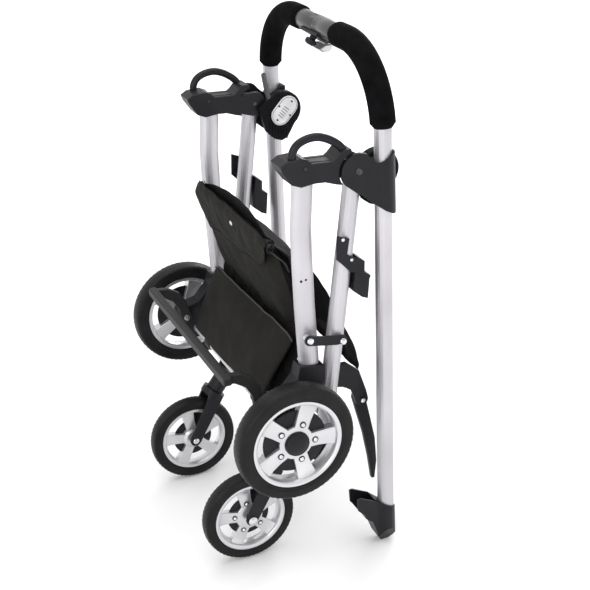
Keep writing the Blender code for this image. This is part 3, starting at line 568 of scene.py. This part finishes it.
def make_rim(name, node, out, half, seat, turn):
    """Barrel with a bright outer lip, five spokes and a hub."""
    mesh = bmesh.new()
    centre = middle(node)
    barrel = [
        (-0.80, seat - 0.0002),
        (0.86, seat - 0.0002),
        (0.93, seat + 0.0012),
        (0.97, seat - 0.0004),
        (0.95, seat - 0.0036),
        (0.84, seat - 0.0062),
        (0.66, seat - 0.0076),
        (0.10, seat - 0.0098),
        (-0.40, seat - 0.0098),
        (-0.80, seat - 0.0060),
    ]
    revolve(mesh, [(out * half * a, r) for a, r in barrel], centre, steps=120)
    hub = seat * 0.40
    flange = [
        (-0.75, 0.0065),
        (-0.75, hub * 0.60),
        (-0.50, hub * 0.82),
        (0.40, hub * 0.98),
        (0.53, hub * 0.95),
        (0.57, hub * 0.88),
        (0.57, 0.0065),
    ]
    revolve(mesh, [(out * half * a, r) for a, r in flange], centre, steps=72)
    for k in range(SPOKES):
        add_spoke(mesh, centre, out, turn + 2 * math.pi * k / SPOKES, half, seat)
    piece = new_piece(name, mesh, MATERIALS["rim_silver"], 28)
    return add_bevel(piece, 0.0006, 2)


def make_bolts(name, centre, out, face, reach, radius, turn):
    """Domed nuts in dark washers, one at the root of each spoke."""
    nuts, washers = bmesh.new(), bmesh.new()
    for k in range(SPOKES):
        angle = turn + 2 * math.pi * k / SPOKES
        at = centre + Vector((out * face, reach * math.cos(angle), reach * math.sin(angle)))
        dome(nuts, at, radius, 0.0030, (out, 0, 0))
        ring = [(-0.0010, radius * 1.02), (0.0008, radius * 1.02)]
        ring += [(0.0008, radius * 1.34), (-0.0010, radius * 1.40)]
        revolve(washers, ring, at, (out, 0, 0), steps=24)
    return [
        new_piece(f"{name}_nuts", nuts, MATERIALS["steel"]),
        new_piece(f"{name}_washers", washers, DARK_STEEL),
    ]


def make_web(name, centre, half, seat, reach):
    """The dark web between the spokes, in the wheel's middle plane."""
    mesh = bmesh.new()
    profile = [
        (-0.08, seat * 0.26),
        (-0.08, seat * (reach - 0.03)),
        (-0.04, seat * reach),
        (0.04, seat * reach),
        (0.08, seat * (reach - 0.03)),
        (0.08, seat * 0.26),
    ]
    revolve(mesh, [(half * a, r) for a, r in profile], centre, steps=72)
    return new_piece(name, mesh, MATERIALS["black_plastic"])


def make_cap(name, centre, out, low, high, radius):
    """A domed hub cap with a rolled edge."""
    mesh = bmesh.new()
    tall = high - low
    profile = [
        (low, 0.0),
        (low, radius),
        (low + tall * 0.35, radius),
        (low + tall * 0.60, radius * 0.95),
        (low + tall * 0.62, radius * 0.88),
        (low + tall * 0.80, radius * 0.70),
        (low + tall * 0.95, radius * 0.38),
        (high, 0.0),
    ]
    revolve(mesh, [(out * a, r) for a, r in profile], centre, steps=64)
    return new_piece(name, mesh, MATERIALS["black_plastic"], 40)


def half_width(node):
    low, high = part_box(node)
    return (high.x - low.x) / 2


def wheel_radius(node):
    low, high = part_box(node)
    return (high.z - low.z) / 2


def build_wheel(kind, side):
    """A rear or front wheel's tyre, rim and nuts, in place of the plain ones."""
    out = SIDES[side]
    body = f"{kind}_wheel_{side}"
    tyre_node, rim_node = f"{kind}_tyre_{side}", f"{kind}_rim_{side}"
    half, radius, seat = half_width(tyre_node), wheel_radius(tyre_node), wheel_radius(rim_node)
    tyre_piece = make_tyre(f"{body}_tyre", tyre_node, half, radius, seat)
    rim_piece = make_rim(f"{body}_rim", tyre_node, out, half, seat, SPOKE_TURN[kind])
    centre = middle(tyre_node)
    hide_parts(tyre_node)
    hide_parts(rim_node)
    scale = seat / DRAWN_RIM
    bolts = make_bolts(body, centre, out, half * 0.55, 0.0345 * scale, 0.0042 * scale, SPOKE_TURN[kind])
    web = make_web(f"{body}_web", centre, half, seat, 0.72 if kind == "rear" else 0.60)
    for piece in (tyre_piece, rim_piece, web, *bolts):
        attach(piece, body)
    if kind == "rear":
        cap = make_cap(f"{body}_cap", centre, out, half * 0.50, half + 0.0030, 0.0222)
        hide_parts(f"hub_cap_{side}")
        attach(cap, body)


# ---------------------------------------------------------------- handle


HANDLE_BEND, HANDLE_RADIUS = 0.125, 0.015
GRIP_RADIUS = 0.0213
# The grip's foam starts this far above its CAD solid's lower end.
GRIP_START = 0.0080
MOST_LEAN = 0.03


def grip_path(side, low, cover_end):
    """The handle tube's line from the grip's bottom round the bend to the middle cover."""
    _, box_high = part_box("handle_tube")
    bend = HANDLE_BEND
    x_out, z_top = box_high.x - HANDLE_RADIUS, box_high.z - HANDLE_RADIUS
    cover = middle("grip_centre_cover")
    grip_low, grip_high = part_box(f"grip_{side}")
    lean = (cover.y - (grip_low.y + grip_high.y - cover.y)) / (grip_high.z - grip_low.z)
    lean = max(0.0, min(lean, MOST_LEAN))
    straight = max(0.0, z_top - bend - low)
    start = math.asin(max(0.0, (low - z_top + bend) / bend))
    points = [(x_out, low + straight * t / 6) for t in range(6 if straight else 0)]
    for step in range(25):
        angle = start + (math.pi / 2 - start) * step / 24
        points.append((x_out - bend + bend * math.cos(angle), z_top - bend + bend * math.sin(angle)))
    points += [(x_out - bend + (cover_end - x_out + bend) * t / 4, z_top) for t in range(1, 5)]
    return [Vector((SIDES[side] * x, cover.y - lean * (z_top - z), z)) for x, z in points]


def build_grips():
    for side in SIDES:
        node = f"grip_{side}"
        low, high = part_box(node)
        inner = min(abs(low.x), abs(high.x))
        mesh = bmesh.new()
        path = grip_path(side, low.z + GRIP_START, inner)
        sweep(mesh, path, (GRIP_RADIUS, GRIP_RADIUS), (0, 1, 0), sides=40, ends=0.004)
        grip = new_piece(f"foam_grip_{side}", mesh, MATERIALS["foam"], 60)
        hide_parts(node)
        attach(grip, "handle")


def build_cover():
    """The smooth middle cover, with a parting line and turned-in ends."""
    low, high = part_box("grip_centre_cover")
    centre = (low + high) / 2
    radius, half = (high.z - low.z) / 2, (high.x - low.x) / 2
    edge = half - 0.0012
    profile = [(-edge, radius - 0.0022), (-edge, radius - 0.0006), (-edge + 0.002, radius)]
    profile += [(-0.0006, radius), (0.0, radius - 0.0005), (0.0006, radius)]
    profile += [(edge - 0.002, radius), (edge, radius - 0.0006), (edge, radius - 0.0022)]
    mesh = bmesh.new()
    revolve(mesh, profile, centre, steps=64)
    cover = new_piece("handle_cover", mesh, MATERIALS["cover_grey"], 40)
    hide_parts("grip_centre_cover")
    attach(cover, "handle")


# ---------------------------------------------------------------- carry loops

LOOP_HALF = (0.0062, 0.0068)


def build_carry_loops():
    """The finger loops, as one smooth moulded arch each."""
    for side in SIDES:
        node = f"carry_arc_{side}"
        low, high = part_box(node)
        x = (low.x + high.x) / 2
        back, front, top = low.y + LOOP_HALF[1], high.y - LOOP_HALF[1], high.z - LOOP_HALF[1]
        run = front - back
        shape = [(0.05, -0.0385), (0.0, -0.0270), (0.025, -0.0160), (0.115, -0.0060), (0.28, 0.0)]
        shape += [(0.475, 0.001), (0.66, -0.0040), (0.82, -0.0125), (0.94, -0.0220), (1.0, -0.0300)]
        route = smooth_route([(x, back + run * s, top + z) for s, z in shape], 6)
        mesh = bmesh.new()
        sweep(mesh, route, LOOP_HALF, (1, 0, 0), sides=24)
        loop = new_piece(f"carry_loop_{side}", mesh, MATERIALS["black_plastic"], 50)
        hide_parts(node)
        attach(loop, "rear_frame")


# ---------------------------------------------------------------- basket

# The basket's folded sheets, as (y, z) lines seen from the side.
BACK_TOP, BACK_FOOT = (-0.0365, 0.6270), (0.0110, 0.4360)
PANEL_TOP, PANEL_FOOT = (-0.0070, 0.4440), (-0.0640, 0.3150)
# The front wall's line seen from the side, as (y, z) points from the rear frame to the front frame; the side
# walls are sewn to the front wall along it.
FRONT_LINE = [
    (-0.0290, 0.6190),
    (-0.0080, 0.6010),
    (0.0180, 0.5830),
    (0.0430, 0.5520),
    (0.0620, 0.5180),
    (0.0800, 0.4820),
    (0.0960, 0.4450),
    (0.1080, 0.4150),
    (0.1190, 0.3800),
    (0.1290, 0.3450),
    (0.1270, 0.3340),
]
CLOTH = 0.0014
# The side walls: their distance from the middle, how far they fold in, and the part of the front wall
# that they are sewn to.
WALL_X, WALL_FOLD = 0.1655, 0.036
SEAM_START, SEAM_SHARE = 0.02, 0.62


def crumple(point, size, depth, seed):
    """Soft creases: a displacement along one direction, from smooth noise."""
    place = Vector(point) * (1.0 / size) + Vector((seed, seed * 0.7, -seed))
    return depth * noise.fractal(place, 0.8, 2.1, 3)


def along(line, t):
    """The point a share t of the way along a line of (y, z) points."""
    count = len(line) - 1
    index = min(int(t * count), count - 1)
    part = t * count - index
    (ya, za), (yb, zb) = line[index], line[index + 1]
    return ya + (yb - ya) * part, za + (zb - za) * part


def back_sheet(u, v):
    """The basket's back wall: it faces the rear, and its +X side strip turns in towards the handle."""
    left = -0.170 - 0.018 * min(1.0, v / 0.3)
    x = left + (0.163 - left) * u
    y = BACK_TOP[0] + (BACK_FOOT[0] - BACK_TOP[0]) * v
    z = BACK_TOP[1] + (BACK_FOOT[1] - BACK_TOP[1]) * v
    turn = max(0.0, (x - 0.112) / 0.051)
    y += 0.020 * turn * turn * (0.4 + v)
    y -= 0.006 * math.sin(math.pi * v) * math.sin(math.pi * u)
    y += crumple((x, y, z), 0.055, 0.0030, 3.0)
    z += 0.004 * math.sin(math.pi * u) * (1 - v)
    return Vector((x, y, z))


def flap_sheet(u, v):
    """The closing flap that hangs over the back wall from the rolled top edge."""
    slant = 0.066 * v * v
    x = -0.166 + (0.340 - slant) * u
    drop = 0.098 - 0.022 * u
    z = 0.6335 - drop * v - 0.002 * math.sin(math.pi * u)
    corner = math.exp(-((u / 0.045) ** 2)) + math.exp(-(((1 - u) / 0.045) ** 2))
    z -= 0.0110 * corner * (1 - v)
    y = -0.0440 + 0.245 * drop * v - 0.005 * math.sin(math.pi * v)
    roll = math.exp(-((v / 0.10) ** 2))
    y += 0.0060 * roll - 0.0015
    y += crumple((x, y, z), 0.040, 0.0035, 11.0)
    return Vector((x, y, z))


def mouth_sheet(u, v):
    """The black front wall's mouth, which bows up above the flap."""
    x = -0.156 + 0.322 * u
    arch = math.sin(math.pi * min(1.0, u * 1.02)) ** 0.8
    top = 0.6215 + 0.0265 * arch
    z = top - (top - 0.5900) * v
    y = -0.0300 + 0.012 * v + 0.004 * arch
    y += crumple((x, y, z), 0.045, 0.0025, 23.0)
    return Vector((x, y, z))


def lower_fold(u, v):
    """The black base of the basket, crushed behind the floor panel and wider than its foot."""
    x = -0.182 + 0.369 * u
    y = 0.0130 - 0.050 * v + 0.006 * math.sin(math.pi * v)
    z = 0.4550 - 0.123 * v
    y += crumple((x, y, z), 0.030, 0.0060, 71.0)
    x += crumple((y, x, z), 0.040, 0.0040, 83.0)
    return Vector((x, y, z))


def front_sheet(u, v):
    """The basket's front wall, which hangs from the mouth between the front legs."""
    y, z = along(FRONT_LINE, v)
    x = (-0.168 + 0.336 * u) * (1.0 - 0.03 * v)
    y += 0.007 * math.sin(math.pi * u) * math.sin(math.pi * v)
    y += crumple((x, y, z), 0.060, 0.0050, 31.0)
    return Vector((x, y, z))


def lower_panel(u, v):
    """The padded floor panel, folded up over the axle, with a swelled face and one raised lower corner."""
    y = PANEL_TOP[0] + (PANEL_FOOT[0] - PANEL_TOP[0]) * v
    z = PANEL_TOP[1] + (PANEL_FOOT[1] - PANEL_TOP[1]) * v
    x = -0.186 + (0.370 - 0.020 * v) * u
    z += 0.006 * (u - 0.4) * (1 - v) + 0.012 * (u ** 3) * v
    corner = math.exp(-((u / 0.035) ** 2)) + math.exp(-(((1 - u) / 0.030) ** 2))
    z -= 0.0085 * corner * (1 - v) ** 3
    swell = math.sin(math.pi * u) ** 0.7 * math.sin(math.pi * min(1.0, v * 0.9 + 0.05))
    y -= 0.0100 * swell
    z -= 0.0030 * swell
    y += crumple((x, y, z), 0.070, 0.0030, 47.0)
    return Vector((x, y, z))


def gusset_sheet(side):
    """A side wall, folded in like bellows between the back and a seam on the front wall's edge."""

    def place(u, v):
        y_back = BACK_TOP[0] + (BACK_FOOT[0] - BACK_TOP[0]) * v + 0.010
        z_back = BACK_TOP[1] + (BACK_FOOT[1] - BACK_TOP[1]) * v
        seam = front_sheet(0.5 + 0.49 * side, SEAM_START + SEAM_SHARE * v)
        y = y_back + (seam.y + CLOTH / 2 - y_back) * u
        z = z_back + (seam.z - z_back) * u
        fold = math.sin(math.pi * u) * (0.25 + 0.75 * v)
        x = WALL_X + (abs(seam.x) - WALL_X) * u
        x -= WALL_FOLD * fold - 0.008 * math.sin(3 * math.pi * u) * v
        x += crumple((side * x, y, z), 0.035, 0.0050, 59.0 + side) * (1 - u ** 3)
        return Vector((side * x, y, z))

    return place


def cloth_piece(name, place, columns, rows, material, thickness=CLOTH):
    mesh = bmesh.new()
    grid(mesh, place, columns, rows)
    return add_thickness(new_piece(name, mesh, material, 60), thickness)


def edge_cord(name, place, radius, material, body, low=(0.0, 0.0), high=(1.0, 0.0), lift=0.0006):
    """Piping sewn along an edge of a sheet, between two (u, v) places."""
    mesh = bmesh.new()
    count = 40
    route = []
    for i in range(count + 1):
        t = i / count
        at = place(low[0] + (high[0] - low[0]) * t, low[1] + (high[1] - low[1]) * t)
        route.append(at - Vector((0, lift, 0)))
    sweep(mesh, route, (radius, radius), (0.1, 1, 0.2), sides=10)
    piece = new_piece(name, mesh, material, 60)
    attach(piece, body)
    return piece


def stitch_row(name, place, low, high, count, body):
    """A row of short raised stitches between two (u, v) places on a sheet."""
    mesh = bmesh.new()
    for i in range(count):
        ends = []
        for share in (i + 0.18, i + 0.72):
            t = share / count
            at = place(low[0] + (high[0] - low[0]) * t, low[1] + (high[1] - low[1]) * t)
            ends.append(at - Vector((0, CLOTH * 0.9, 0)))
        sweep(mesh, ends, (0.00045, 0.00045), (0.1, 1, 0.3), sides=6)
    piece = new_piece(name, mesh, PIPING, 60)
    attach(piece, body)


def build_basket():
    back = cloth_piece("basket_back_wall", back_sheet, 48, 30, MATERIALS["fabric"])
    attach(back, "rear_frame")
    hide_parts("basket_flap")
    flap = cloth_piece("basket_closing_flap", flap_sheet, 48, 18, MATERIALS["fabric"], 0.0022)
    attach(flap, "rear_frame")
    mouth = cloth_piece("basket_mouth", mouth_sheet, 40, 10, BLACK_CLOTH, 0.0022)
    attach(mouth, "rear_frame")
    front = cloth_piece("basket_front_wall", front_sheet, 40, 48, BLACK_CLOTH, 0.0020)
    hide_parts("basket_front")
    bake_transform(front)
    panel = cloth_piece("basket_floor_panel", lower_panel, 44, 24, MATERIALS["fabric"], 0.0060)
    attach(panel, "rear_frame")
    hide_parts("basket_panel")
    fold = cloth_piece("basket_base_fold", lower_fold, 48, 22, BLACK_CLOTH)
    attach(fold, "rear_frame")
    mesh = bmesh.new()
    corner = [(-0.1600, -0.0340, 0.6240), (-0.1640, -0.0300, 0.5980), (-0.1625, -0.0220, 0.5640)]
    route = smooth_route(corner, 8)
    sweep(mesh, route, (0.0075, 0.0068), (1, 0, 0), sides=20, ends=0.012)
    roll = new_piece("basket_corner_roll", mesh, MATERIALS["fabric"], 60)
    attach(roll, "rear_frame")
    for label, side in SIDES.items():
        wall = cloth_piece(f"basket_side_wall_{label}", gusset_sheet(side), 20, 26, BLACK_CLOTH)
        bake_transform(wall)
    edge_cord("panel_piping", lower_panel, 0.0017, PIPING, "rear_frame", (0.0, 0.0), (1.0, 0.0), 0.0030)
    edge_cord("flap_piping", flap_sheet, 0.0013, BLACK_CLOTH, "rear_frame", (0.0, 1.0), (1.0, 1.0))
    stitch_row("flap_stitches", flap_sheet, (0.02, 0.90), (0.98, 0.90), 60, "rear_frame")
    stitch_row("panel_stitches", lower_panel, (0.02, 0.05), (0.98, 0.05), 60, "rear_frame")


def build_webbing():
    """The closing straps at the flap's near corner, their ring, and the flap's eyelet."""
    mesh = bmesh.new()
    top = smooth_route([(0.128, -0.0440, 0.6200), (0.150, -0.0400, 0.6190), (0.163, -0.0230, 0.6135)], 6)
    strap(mesh, top, 0.0150, 0.0020, (0.1, 0.2, 1))
    down = [(0.163, -0.0280, 0.6170), (0.168, -0.0130, 0.6050)]
    down += [(0.168, 0.0010, 0.5890), (0.165, 0.0060, 0.5720)]
    down = smooth_route(down, 6)
    strap(mesh, down, 0.0130, 0.0020, (1, 0.1, 0.3))
    loop = [(0.161, -0.0330, 0.6060), (0.166, -0.0210, 0.5940)]
    loop += [(0.166, -0.0070, 0.5780), (0.162, 0.0000, 0.5600)]
    loop = smooth_route(loop, 6)
    strap(mesh, loop, 0.0090, 0.0018, (1, 0.1, 0.3))
    straps = new_piece("closing_straps", mesh, WEBBING, 60)
    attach(straps, "rear_frame")
    mesh = bmesh.new()
    ring = []
    for step in range(25):
        angle = 2 * math.pi * step / 24
        y = -0.0310 + 0.0060 * math.cos(angle)
        ring.append((0.1640 + 0.0015 * math.sin(angle), y, 0.6090 + 0.0085 * math.sin(angle)))
    sweep(mesh, ring, (0.0013, 0.0013), (1, 0, 0), sides=10)
    slider = new_piece("strap_ring", mesh, DARK_STEEL, 60)
    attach(slider, "rear_frame")
    mesh = bmesh.new()
    eyelet_at = flap_sheet(0.545, 0.30) - Vector((0, 0.0012, 0))
    profile = [(0.0, 0.0022), (0.0010, 0.0024), (0.0014, 0.0034), (0.0008, 0.0046), (-0.0004, 0.0048)]
    profile += [(-0.0004, 0.0022)]
    revolve(mesh, profile, eyelet_at, (0, -1, -0.25), steps=32)
    eyelet = new_piece("flap_eyelet", mesh, MATERIALS["satin_silver"], 60)
    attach(eyelet, "rear_frame")


# ---------------------------------------------------------------- fittings on the frame


def add_set(name, slot, body, heads, material=None):
    """Several screw or rivet heads as one piece. heads are (maker, place, size, height or None, axis)."""
    mesh = bmesh.new()
    for maker, place, radius, height, axis in heads:
        if maker is dome:
            dome(mesh, place, radius, height, axis)
        else:
            recessed_screw(mesh, place, radius, axis)
    piece = new_piece(name, mesh, material or MATERIALS[slot], 40)
    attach(piece, body)
    return piece


def surface_line(node, start, end, toward, count=24):
    """Points on a node's surface under a straight line, found by looking along one direction."""
    found = []
    start, end, toward = Vector(start), Vector(end), Vector(toward).normalized()
    turn = frame["nodes"][node].matrix_world
    back = turn.inverted()
    for i in range(count + 1):
        origin = start + (end - start) * (i / count) - toward * 0.2
        hit, place, _, _ = frame["nodes"][node].ray_cast(back @ origin, back.to_3x3() @ toward)
        if hit:
            found.append(turn @ place)
    return found


def build_beam_ridges(label):
    """Two raised lines along a rear side arm's top face."""
    node = f"rear_beam_{label}"
    low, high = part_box(node)
    mesh = bmesh.new()
    for share in (0.24, 0.78):
        x = low.x + (high.x - low.x) * share
        line = surface_line(node, (x, low.y + 0.0440, high.z), (x, low.y + 0.0920, high.z), (0, 0, -1))
        if len(line) > 2:
            sweep(mesh, line, (0.0009, 0.0008), (1, 0, 0), sides=8)
    ridges = new_piece(f"beam_ridges_{label}", mesh, MATERIALS["black_plastic"], 60)
    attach(ridges, "rear_frame")


def build_beam_screws(label, side):
    """A recessed screw on each face of a rear side arm."""
    low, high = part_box(f"rear_beam_{label}")
    y, z = low.y + 0.0420, low.z + 0.0440
    outer, inner = sorted((low.x, high.x), key=abs, reverse=True)
    heads = [
        (recessed_screw, (outer, y, z), 0.0032, None, (side, 0, 0)),
        (recessed_screw, (inner, y, z), 0.0032, None, (-side, 0, 0)),
    ]
    add_set(f"beam_screws_{label}", "steel", "rear_frame", heads, DARK_STEEL)


def build_latch_rivets(label, side):
    low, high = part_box(f"handle_latch_{label}")
    x = side * max(abs(low.x), abs(high.x))
    heads = [
        (dome, (x, high.y - 0.0490, high.z - 0.0090), 0.0030, 0.0012, (side, 0, 0)),
        (dome, (x, high.y - 0.0345, high.z - 0.0480), 0.0028, 0.0012, (side, 0, 0)),
    ]
    add_set(f"latch_rivets_{label}", "steel", "front_frame", heads)


def build_leg_marks(label, side):
    """The pair of small dark rivets on a rear leg."""
    low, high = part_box(f"rear_leg_{label}")
    x = side * (max(abs(low.x), abs(high.x)) - 0.0004)
    y = (low.y + high.y) / 2 - 0.0075
    heads = [
        (dome, (x, y + 0.0045, low.z + 0.1830), 0.0021, 0.0010, (side, 0, 0)),
        (dome, (x, y - 0.0040, low.z + 0.1815), 0.0021, 0.0010, (side, 0, 0)),
    ]
    add_set(f"leg_rivets_{label}", "black_plastic", "rear_frame", heads)


def build_drum_details(label, side):
    """A raised border, four small screws and plain lines on the plate, and ribs under the drum."""
    low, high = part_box(f"adapter_plate_{label}")
    centre = (low + high) / 2
    face = side * min(abs(low.x), abs(high.x))
    inward = -side
    reach, radius = 0.0080, 0.0172
    mesh = bmesh.new()
    ring = []
    for step in range(49):
        angle = 2 * math.pi * step / 48
        shift = reach if math.cos(angle - math.pi / 4) > 0 else -reach
        y = centre.y + shift + radius * math.cos(angle)
        z = centre.z + shift + radius * math.sin(angle)
        ring.append((face + inward * 0.0001, y, z))
    sweep(mesh, ring, (0.0004, 0.0004), (1, 0, 0), sides=8)
    for k in range(4):
        angle = math.pi / 4 + math.pi / 2 * k
        spread = 0.0225 if k % 2 == 0 else 0.0150
        at = (face, centre.y + spread * math.cos(angle), centre.z + spread * math.sin(angle))
        recessed_screw(mesh, at, 0.0020, (inward, 0, 0))
    for k in range(5):
        offset = -0.0070 + 0.0035 * k
        a = (face + inward * 0.0002, centre.y - 0.007 + offset, centre.z + 0.002 + offset)
        b = (face + inward * 0.0002, centre.y + 0.002 + offset, centre.z - 0.007 + offset)
        sweep(mesh, [a, b], (0.0004, 0.0007), (1, 0, 0), sides=6)
    trim = new_piece(f"plate_trim_{label}", mesh, DARK_STEEL, 40)
    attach(trim, "front_frame")
    mesh = bmesh.new()
    drum_low, drum_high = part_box(f"hub_drum_{label}")
    drum_face = side * min(abs(drum_low.x), abs(drum_high.x))
    drum = (drum_low + drum_high) / 2
    reach = 0.0345
    for k in range(7):
        y = -0.0300 + 0.0056 * k
        foot = -math.sqrt(max(0.0, reach * reach - y * y))
        head = max(foot + 0.004, -0.0060 - 0.0030 * k)
        if head - foot < 0.003:
            continue
        ends = [(drum_face + inward * 0.0002, drum_high.y - 0.0368 + y, drum.z + z) for z in (head, foot)]
        sweep(mesh, ends, (0.0011, 0.0012), (1, 0, 0), sides=8)
    # The ribs share the drums' darker black plastic, which has painted shade.
    ribs = new_piece(f"drum_ribs_{label}", mesh, DRUM_BLACK_PAINTED_SHADE, 40)
    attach(ribs, "front_frame")


def build_fold_lever(label, side):
    """The small grey release lever on the inner side of the left hub's drum, beside the handle tube."""
    low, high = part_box(f"hub_drum_{label}")
    x = side * (min(abs(low.x), abs(high.x)) + 0.0045)
    y, z = low.y, high.z
    mesh = bmesh.new()
    points = [(x, y + 0.026, z - 0.020), (x, y + 0.0205, z + 0.003)]
    points += [(x, y + 0.0175, z + 0.023), (x, y + 0.0150, z + 0.041)]
    sweep(mesh, smooth_route(points, 5), (0.0020, 0.0050), (1, 0, 0), sides=14, ends=0.003)
    lever = new_piece(f"fold_lever_{label}", mesh, MATERIALS["cover_grey"], 60)
    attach(lever, "front_frame")


def build_axle_sleeves():
    """Black collars on the axle tube, one towards each end."""
    low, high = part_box("rear_axle_tube")
    centre = (low + high) / 2
    radius = (high.z - low.z) / 2
    for label, side in SIDES.items():
        mesh = bmesh.new()
        profile = [(-0.013, radius + 0.0001), (-0.013, radius + 0.0020), (-0.010, radius + 0.0032)]
        profile += [(0.010, radius + 0.0032), (0.013, radius + 0.0020), (0.013, radius + 0.0001)]
        revolve(mesh, profile, (side * 0.120, centre.y, centre.z), steps=48)
        sleeve = new_piece(f"axle_sleeve_{label}", mesh, MATERIALS["black_plastic"], 40)
        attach(sleeve, "rear_frame")


def build_brake_trim():
    """Black edge strips along the brake bar's foot face."""
    low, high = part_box("brake_bar")
    mesh = bmesh.new()
    reach = high.x - 0.020
    for y, z in ((low.y + 0.0010, high.z - 0.0140), (low.y + 0.0105, high.z - 0.0004)):
        sweep(mesh, [(-reach, y, z), (0, y, z), (reach, y, z)], (0.0012, 0.0012), (0, 1, 0), sides=8)
    trim = new_piece("brake_bar_edges", mesh, MATERIALS["black_plastic"], 60)
    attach(trim, "brake_bar")


def build_pin_heads():
    """Domed heads over the plain pins that show."""
    for label, side in SIDES.items():
        low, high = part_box(f"rest_bracket_{label}")
        x = side * (max(abs(low.x), abs(high.x)) - 0.0001)
        arm_low, arm_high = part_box(f"rest_arm_{label}")
        place = (x, arm_low.y + 0.0120, arm_high.z - 0.0120)
        add_set(f"rest_rivet_{label}", "steel", "front_frame", [(dome, place, 0.0042, 0.0016, (side, 0, 0))])
    for node, body in (("hook_pivot", "rear_frame"), ("hook_pin", "front_frame")):
        low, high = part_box(node)
        centre = (low + high) / 2
        radius = (high.z - low.z) / 2 * 0.92
        heads = [(dome, (high.x - 0.0002, centre.y, centre.z), radius, 0.0022, (1, 0, 0))]
        add_set(f"{node}_head", "steel", body, heads)


def build_fork_bolts():
    """Bright domed bolt heads at the front wheels' axles."""
    for label in SIDES:
        low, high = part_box(f"caster_axle_{label}")
        centre = (low + high) / 2
        heads = [
            (dome, (low.x + 0.0002, centre.y, centre.z), 0.0062, 0.0022, (-1, 0, 0)),
            (dome, (high.x - 0.0002, centre.y, centre.z), 0.0062, 0.0022, (1, 0, 0)),
        ]
        add_set(f"fork_bolts_{label}", "steel", f"caster_{label}", heads)


# Nodes whose names start like this have their own material, and the others have their slot's: dark steel for
# the hub pins, and a darker black plastic with painted shade for the drums.
OWN_FINISH_AND_PAINTED_SHADE = {"hub_pin": DARK_STEEL, "hub_drum": DRUM_BLACK_PAINTED_SHADE}


def dress_frame():
    """Materials for the CAD nodes that stay, with painted shade on the drums, and rounded edges on the
    moulded ones.
    """
    slots = {row["node"]: row["material_slot"] for row in frame["record"]["subparts"]}
    moulded = ("black_plastic", "satin_silver", "brake_grey")
    for name, node in frame["nodes"].items():
        slot = slots[name]
        node.data.materials.clear()
        own = [finish_and_shade for start, finish_and_shade in OWN_FINISH_AND_PAINTED_SHADE.items() if name.startswith(start)]
        node.data.materials.append(own[0] if own else MATERIALS[slot])
        node.data.shade_smooth()
        node.data.set_sharp_from_angle(angle=math.radians(32))
        if slot in moulded:
            add_bevel(node, 0.0011, 3, 28)


# ---------------------------------------------------------------- stage


def build_stage():
    """A wide pale floor, a white sky and soft studio lights."""
    mesh = bmesh.new()
    reach = 6.0
    bmesh.ops.create_grid(mesh, x_segments=24, y_segments=24, size=reach)
    data = bpy.data.meshes.new("floor")
    mesh.to_mesh(data)
    mesh.free()
    floor = bpy.data.objects.new("floor", data)
    floor.location = (0, 0, -0.0005)
    data.materials.append(floor_paper())
    bpy.context.scene.collection.objects.link(floor)
    world = bpy.data.worlds.new("studio")
    bpy.context.scene.world = world
    world.use_nodes = True
    sky = world.node_tree.nodes["Background"]
    sky.inputs["Color"].default_value = (1.0, 1.0, 1.0, 1.0)
    sky.inputs["Strength"].default_value = 1.0
    add_light("overhead", (0.1, 0.3, 4.2), (0, 0, 0), 5.0, 125)
    add_light("key", (2.3, -1.9, 1.5), (0, 0, 0.5), 1.0, 22)
    add_light("rim", (-1.9, 1.9, 1.6), (0, 0, 0.5), 1.1, 26)
    bpy.context.scene.view_settings.view_transform = "Standard"


def add_light(name, place, target, size, power):
    data = bpy.data.lights.new(name, "AREA")
    data.energy = power
    data.size = size
    lamp = bpy.data.objects.new(name, data)
    lamp.location = place
    lamp.rotation_euler = (Vector(target) - Vector(place)).to_track_quat("-Z", "Y").to_euler()
    bpy.context.scene.collection.objects.link(lamp)


def build_camera():
    data = bpy.data.cameras.new("view")
    data.sensor_width = 36
    data.lens = CAMERA_LENS
    data.clip_start, data.clip_end = 0.05, 50
    camera = bpy.data.objects.new("view", data)
    right, up = Vector(CAMERA_RIGHT).normalized(), Vector(CAMERA_UP).normalized()
    back = right.cross(up)
    turn = Matrix((right, up, back)).transposed().to_4x4()
    camera.matrix_world = Matrix.Translation(CAMERA_AT) @ turn
    bpy.context.scene.collection.objects.link(camera)
    bpy.context.scene.camera = camera


build_camera()
build_stage()
dress_frame()
for kind in ("rear", "front"):
    for label in SIDES:
        build_wheel(kind, label)
build_grips()
build_cover()
build_carry_loops()
build_basket()
build_webbing()
for label, side in SIDES.items():
    build_beam_screws(label, side)
    build_beam_ridges(label)
    build_latch_rivets(label, side)
    build_leg_marks(label, side)
    build_drum_details(label, side)
build_fold_lever("left", SIDES["left"])
build_axle_sleeves()
build_brake_trim()
build_pin_heads()
build_fork_bolts()

bpy.context.view_layer.update()
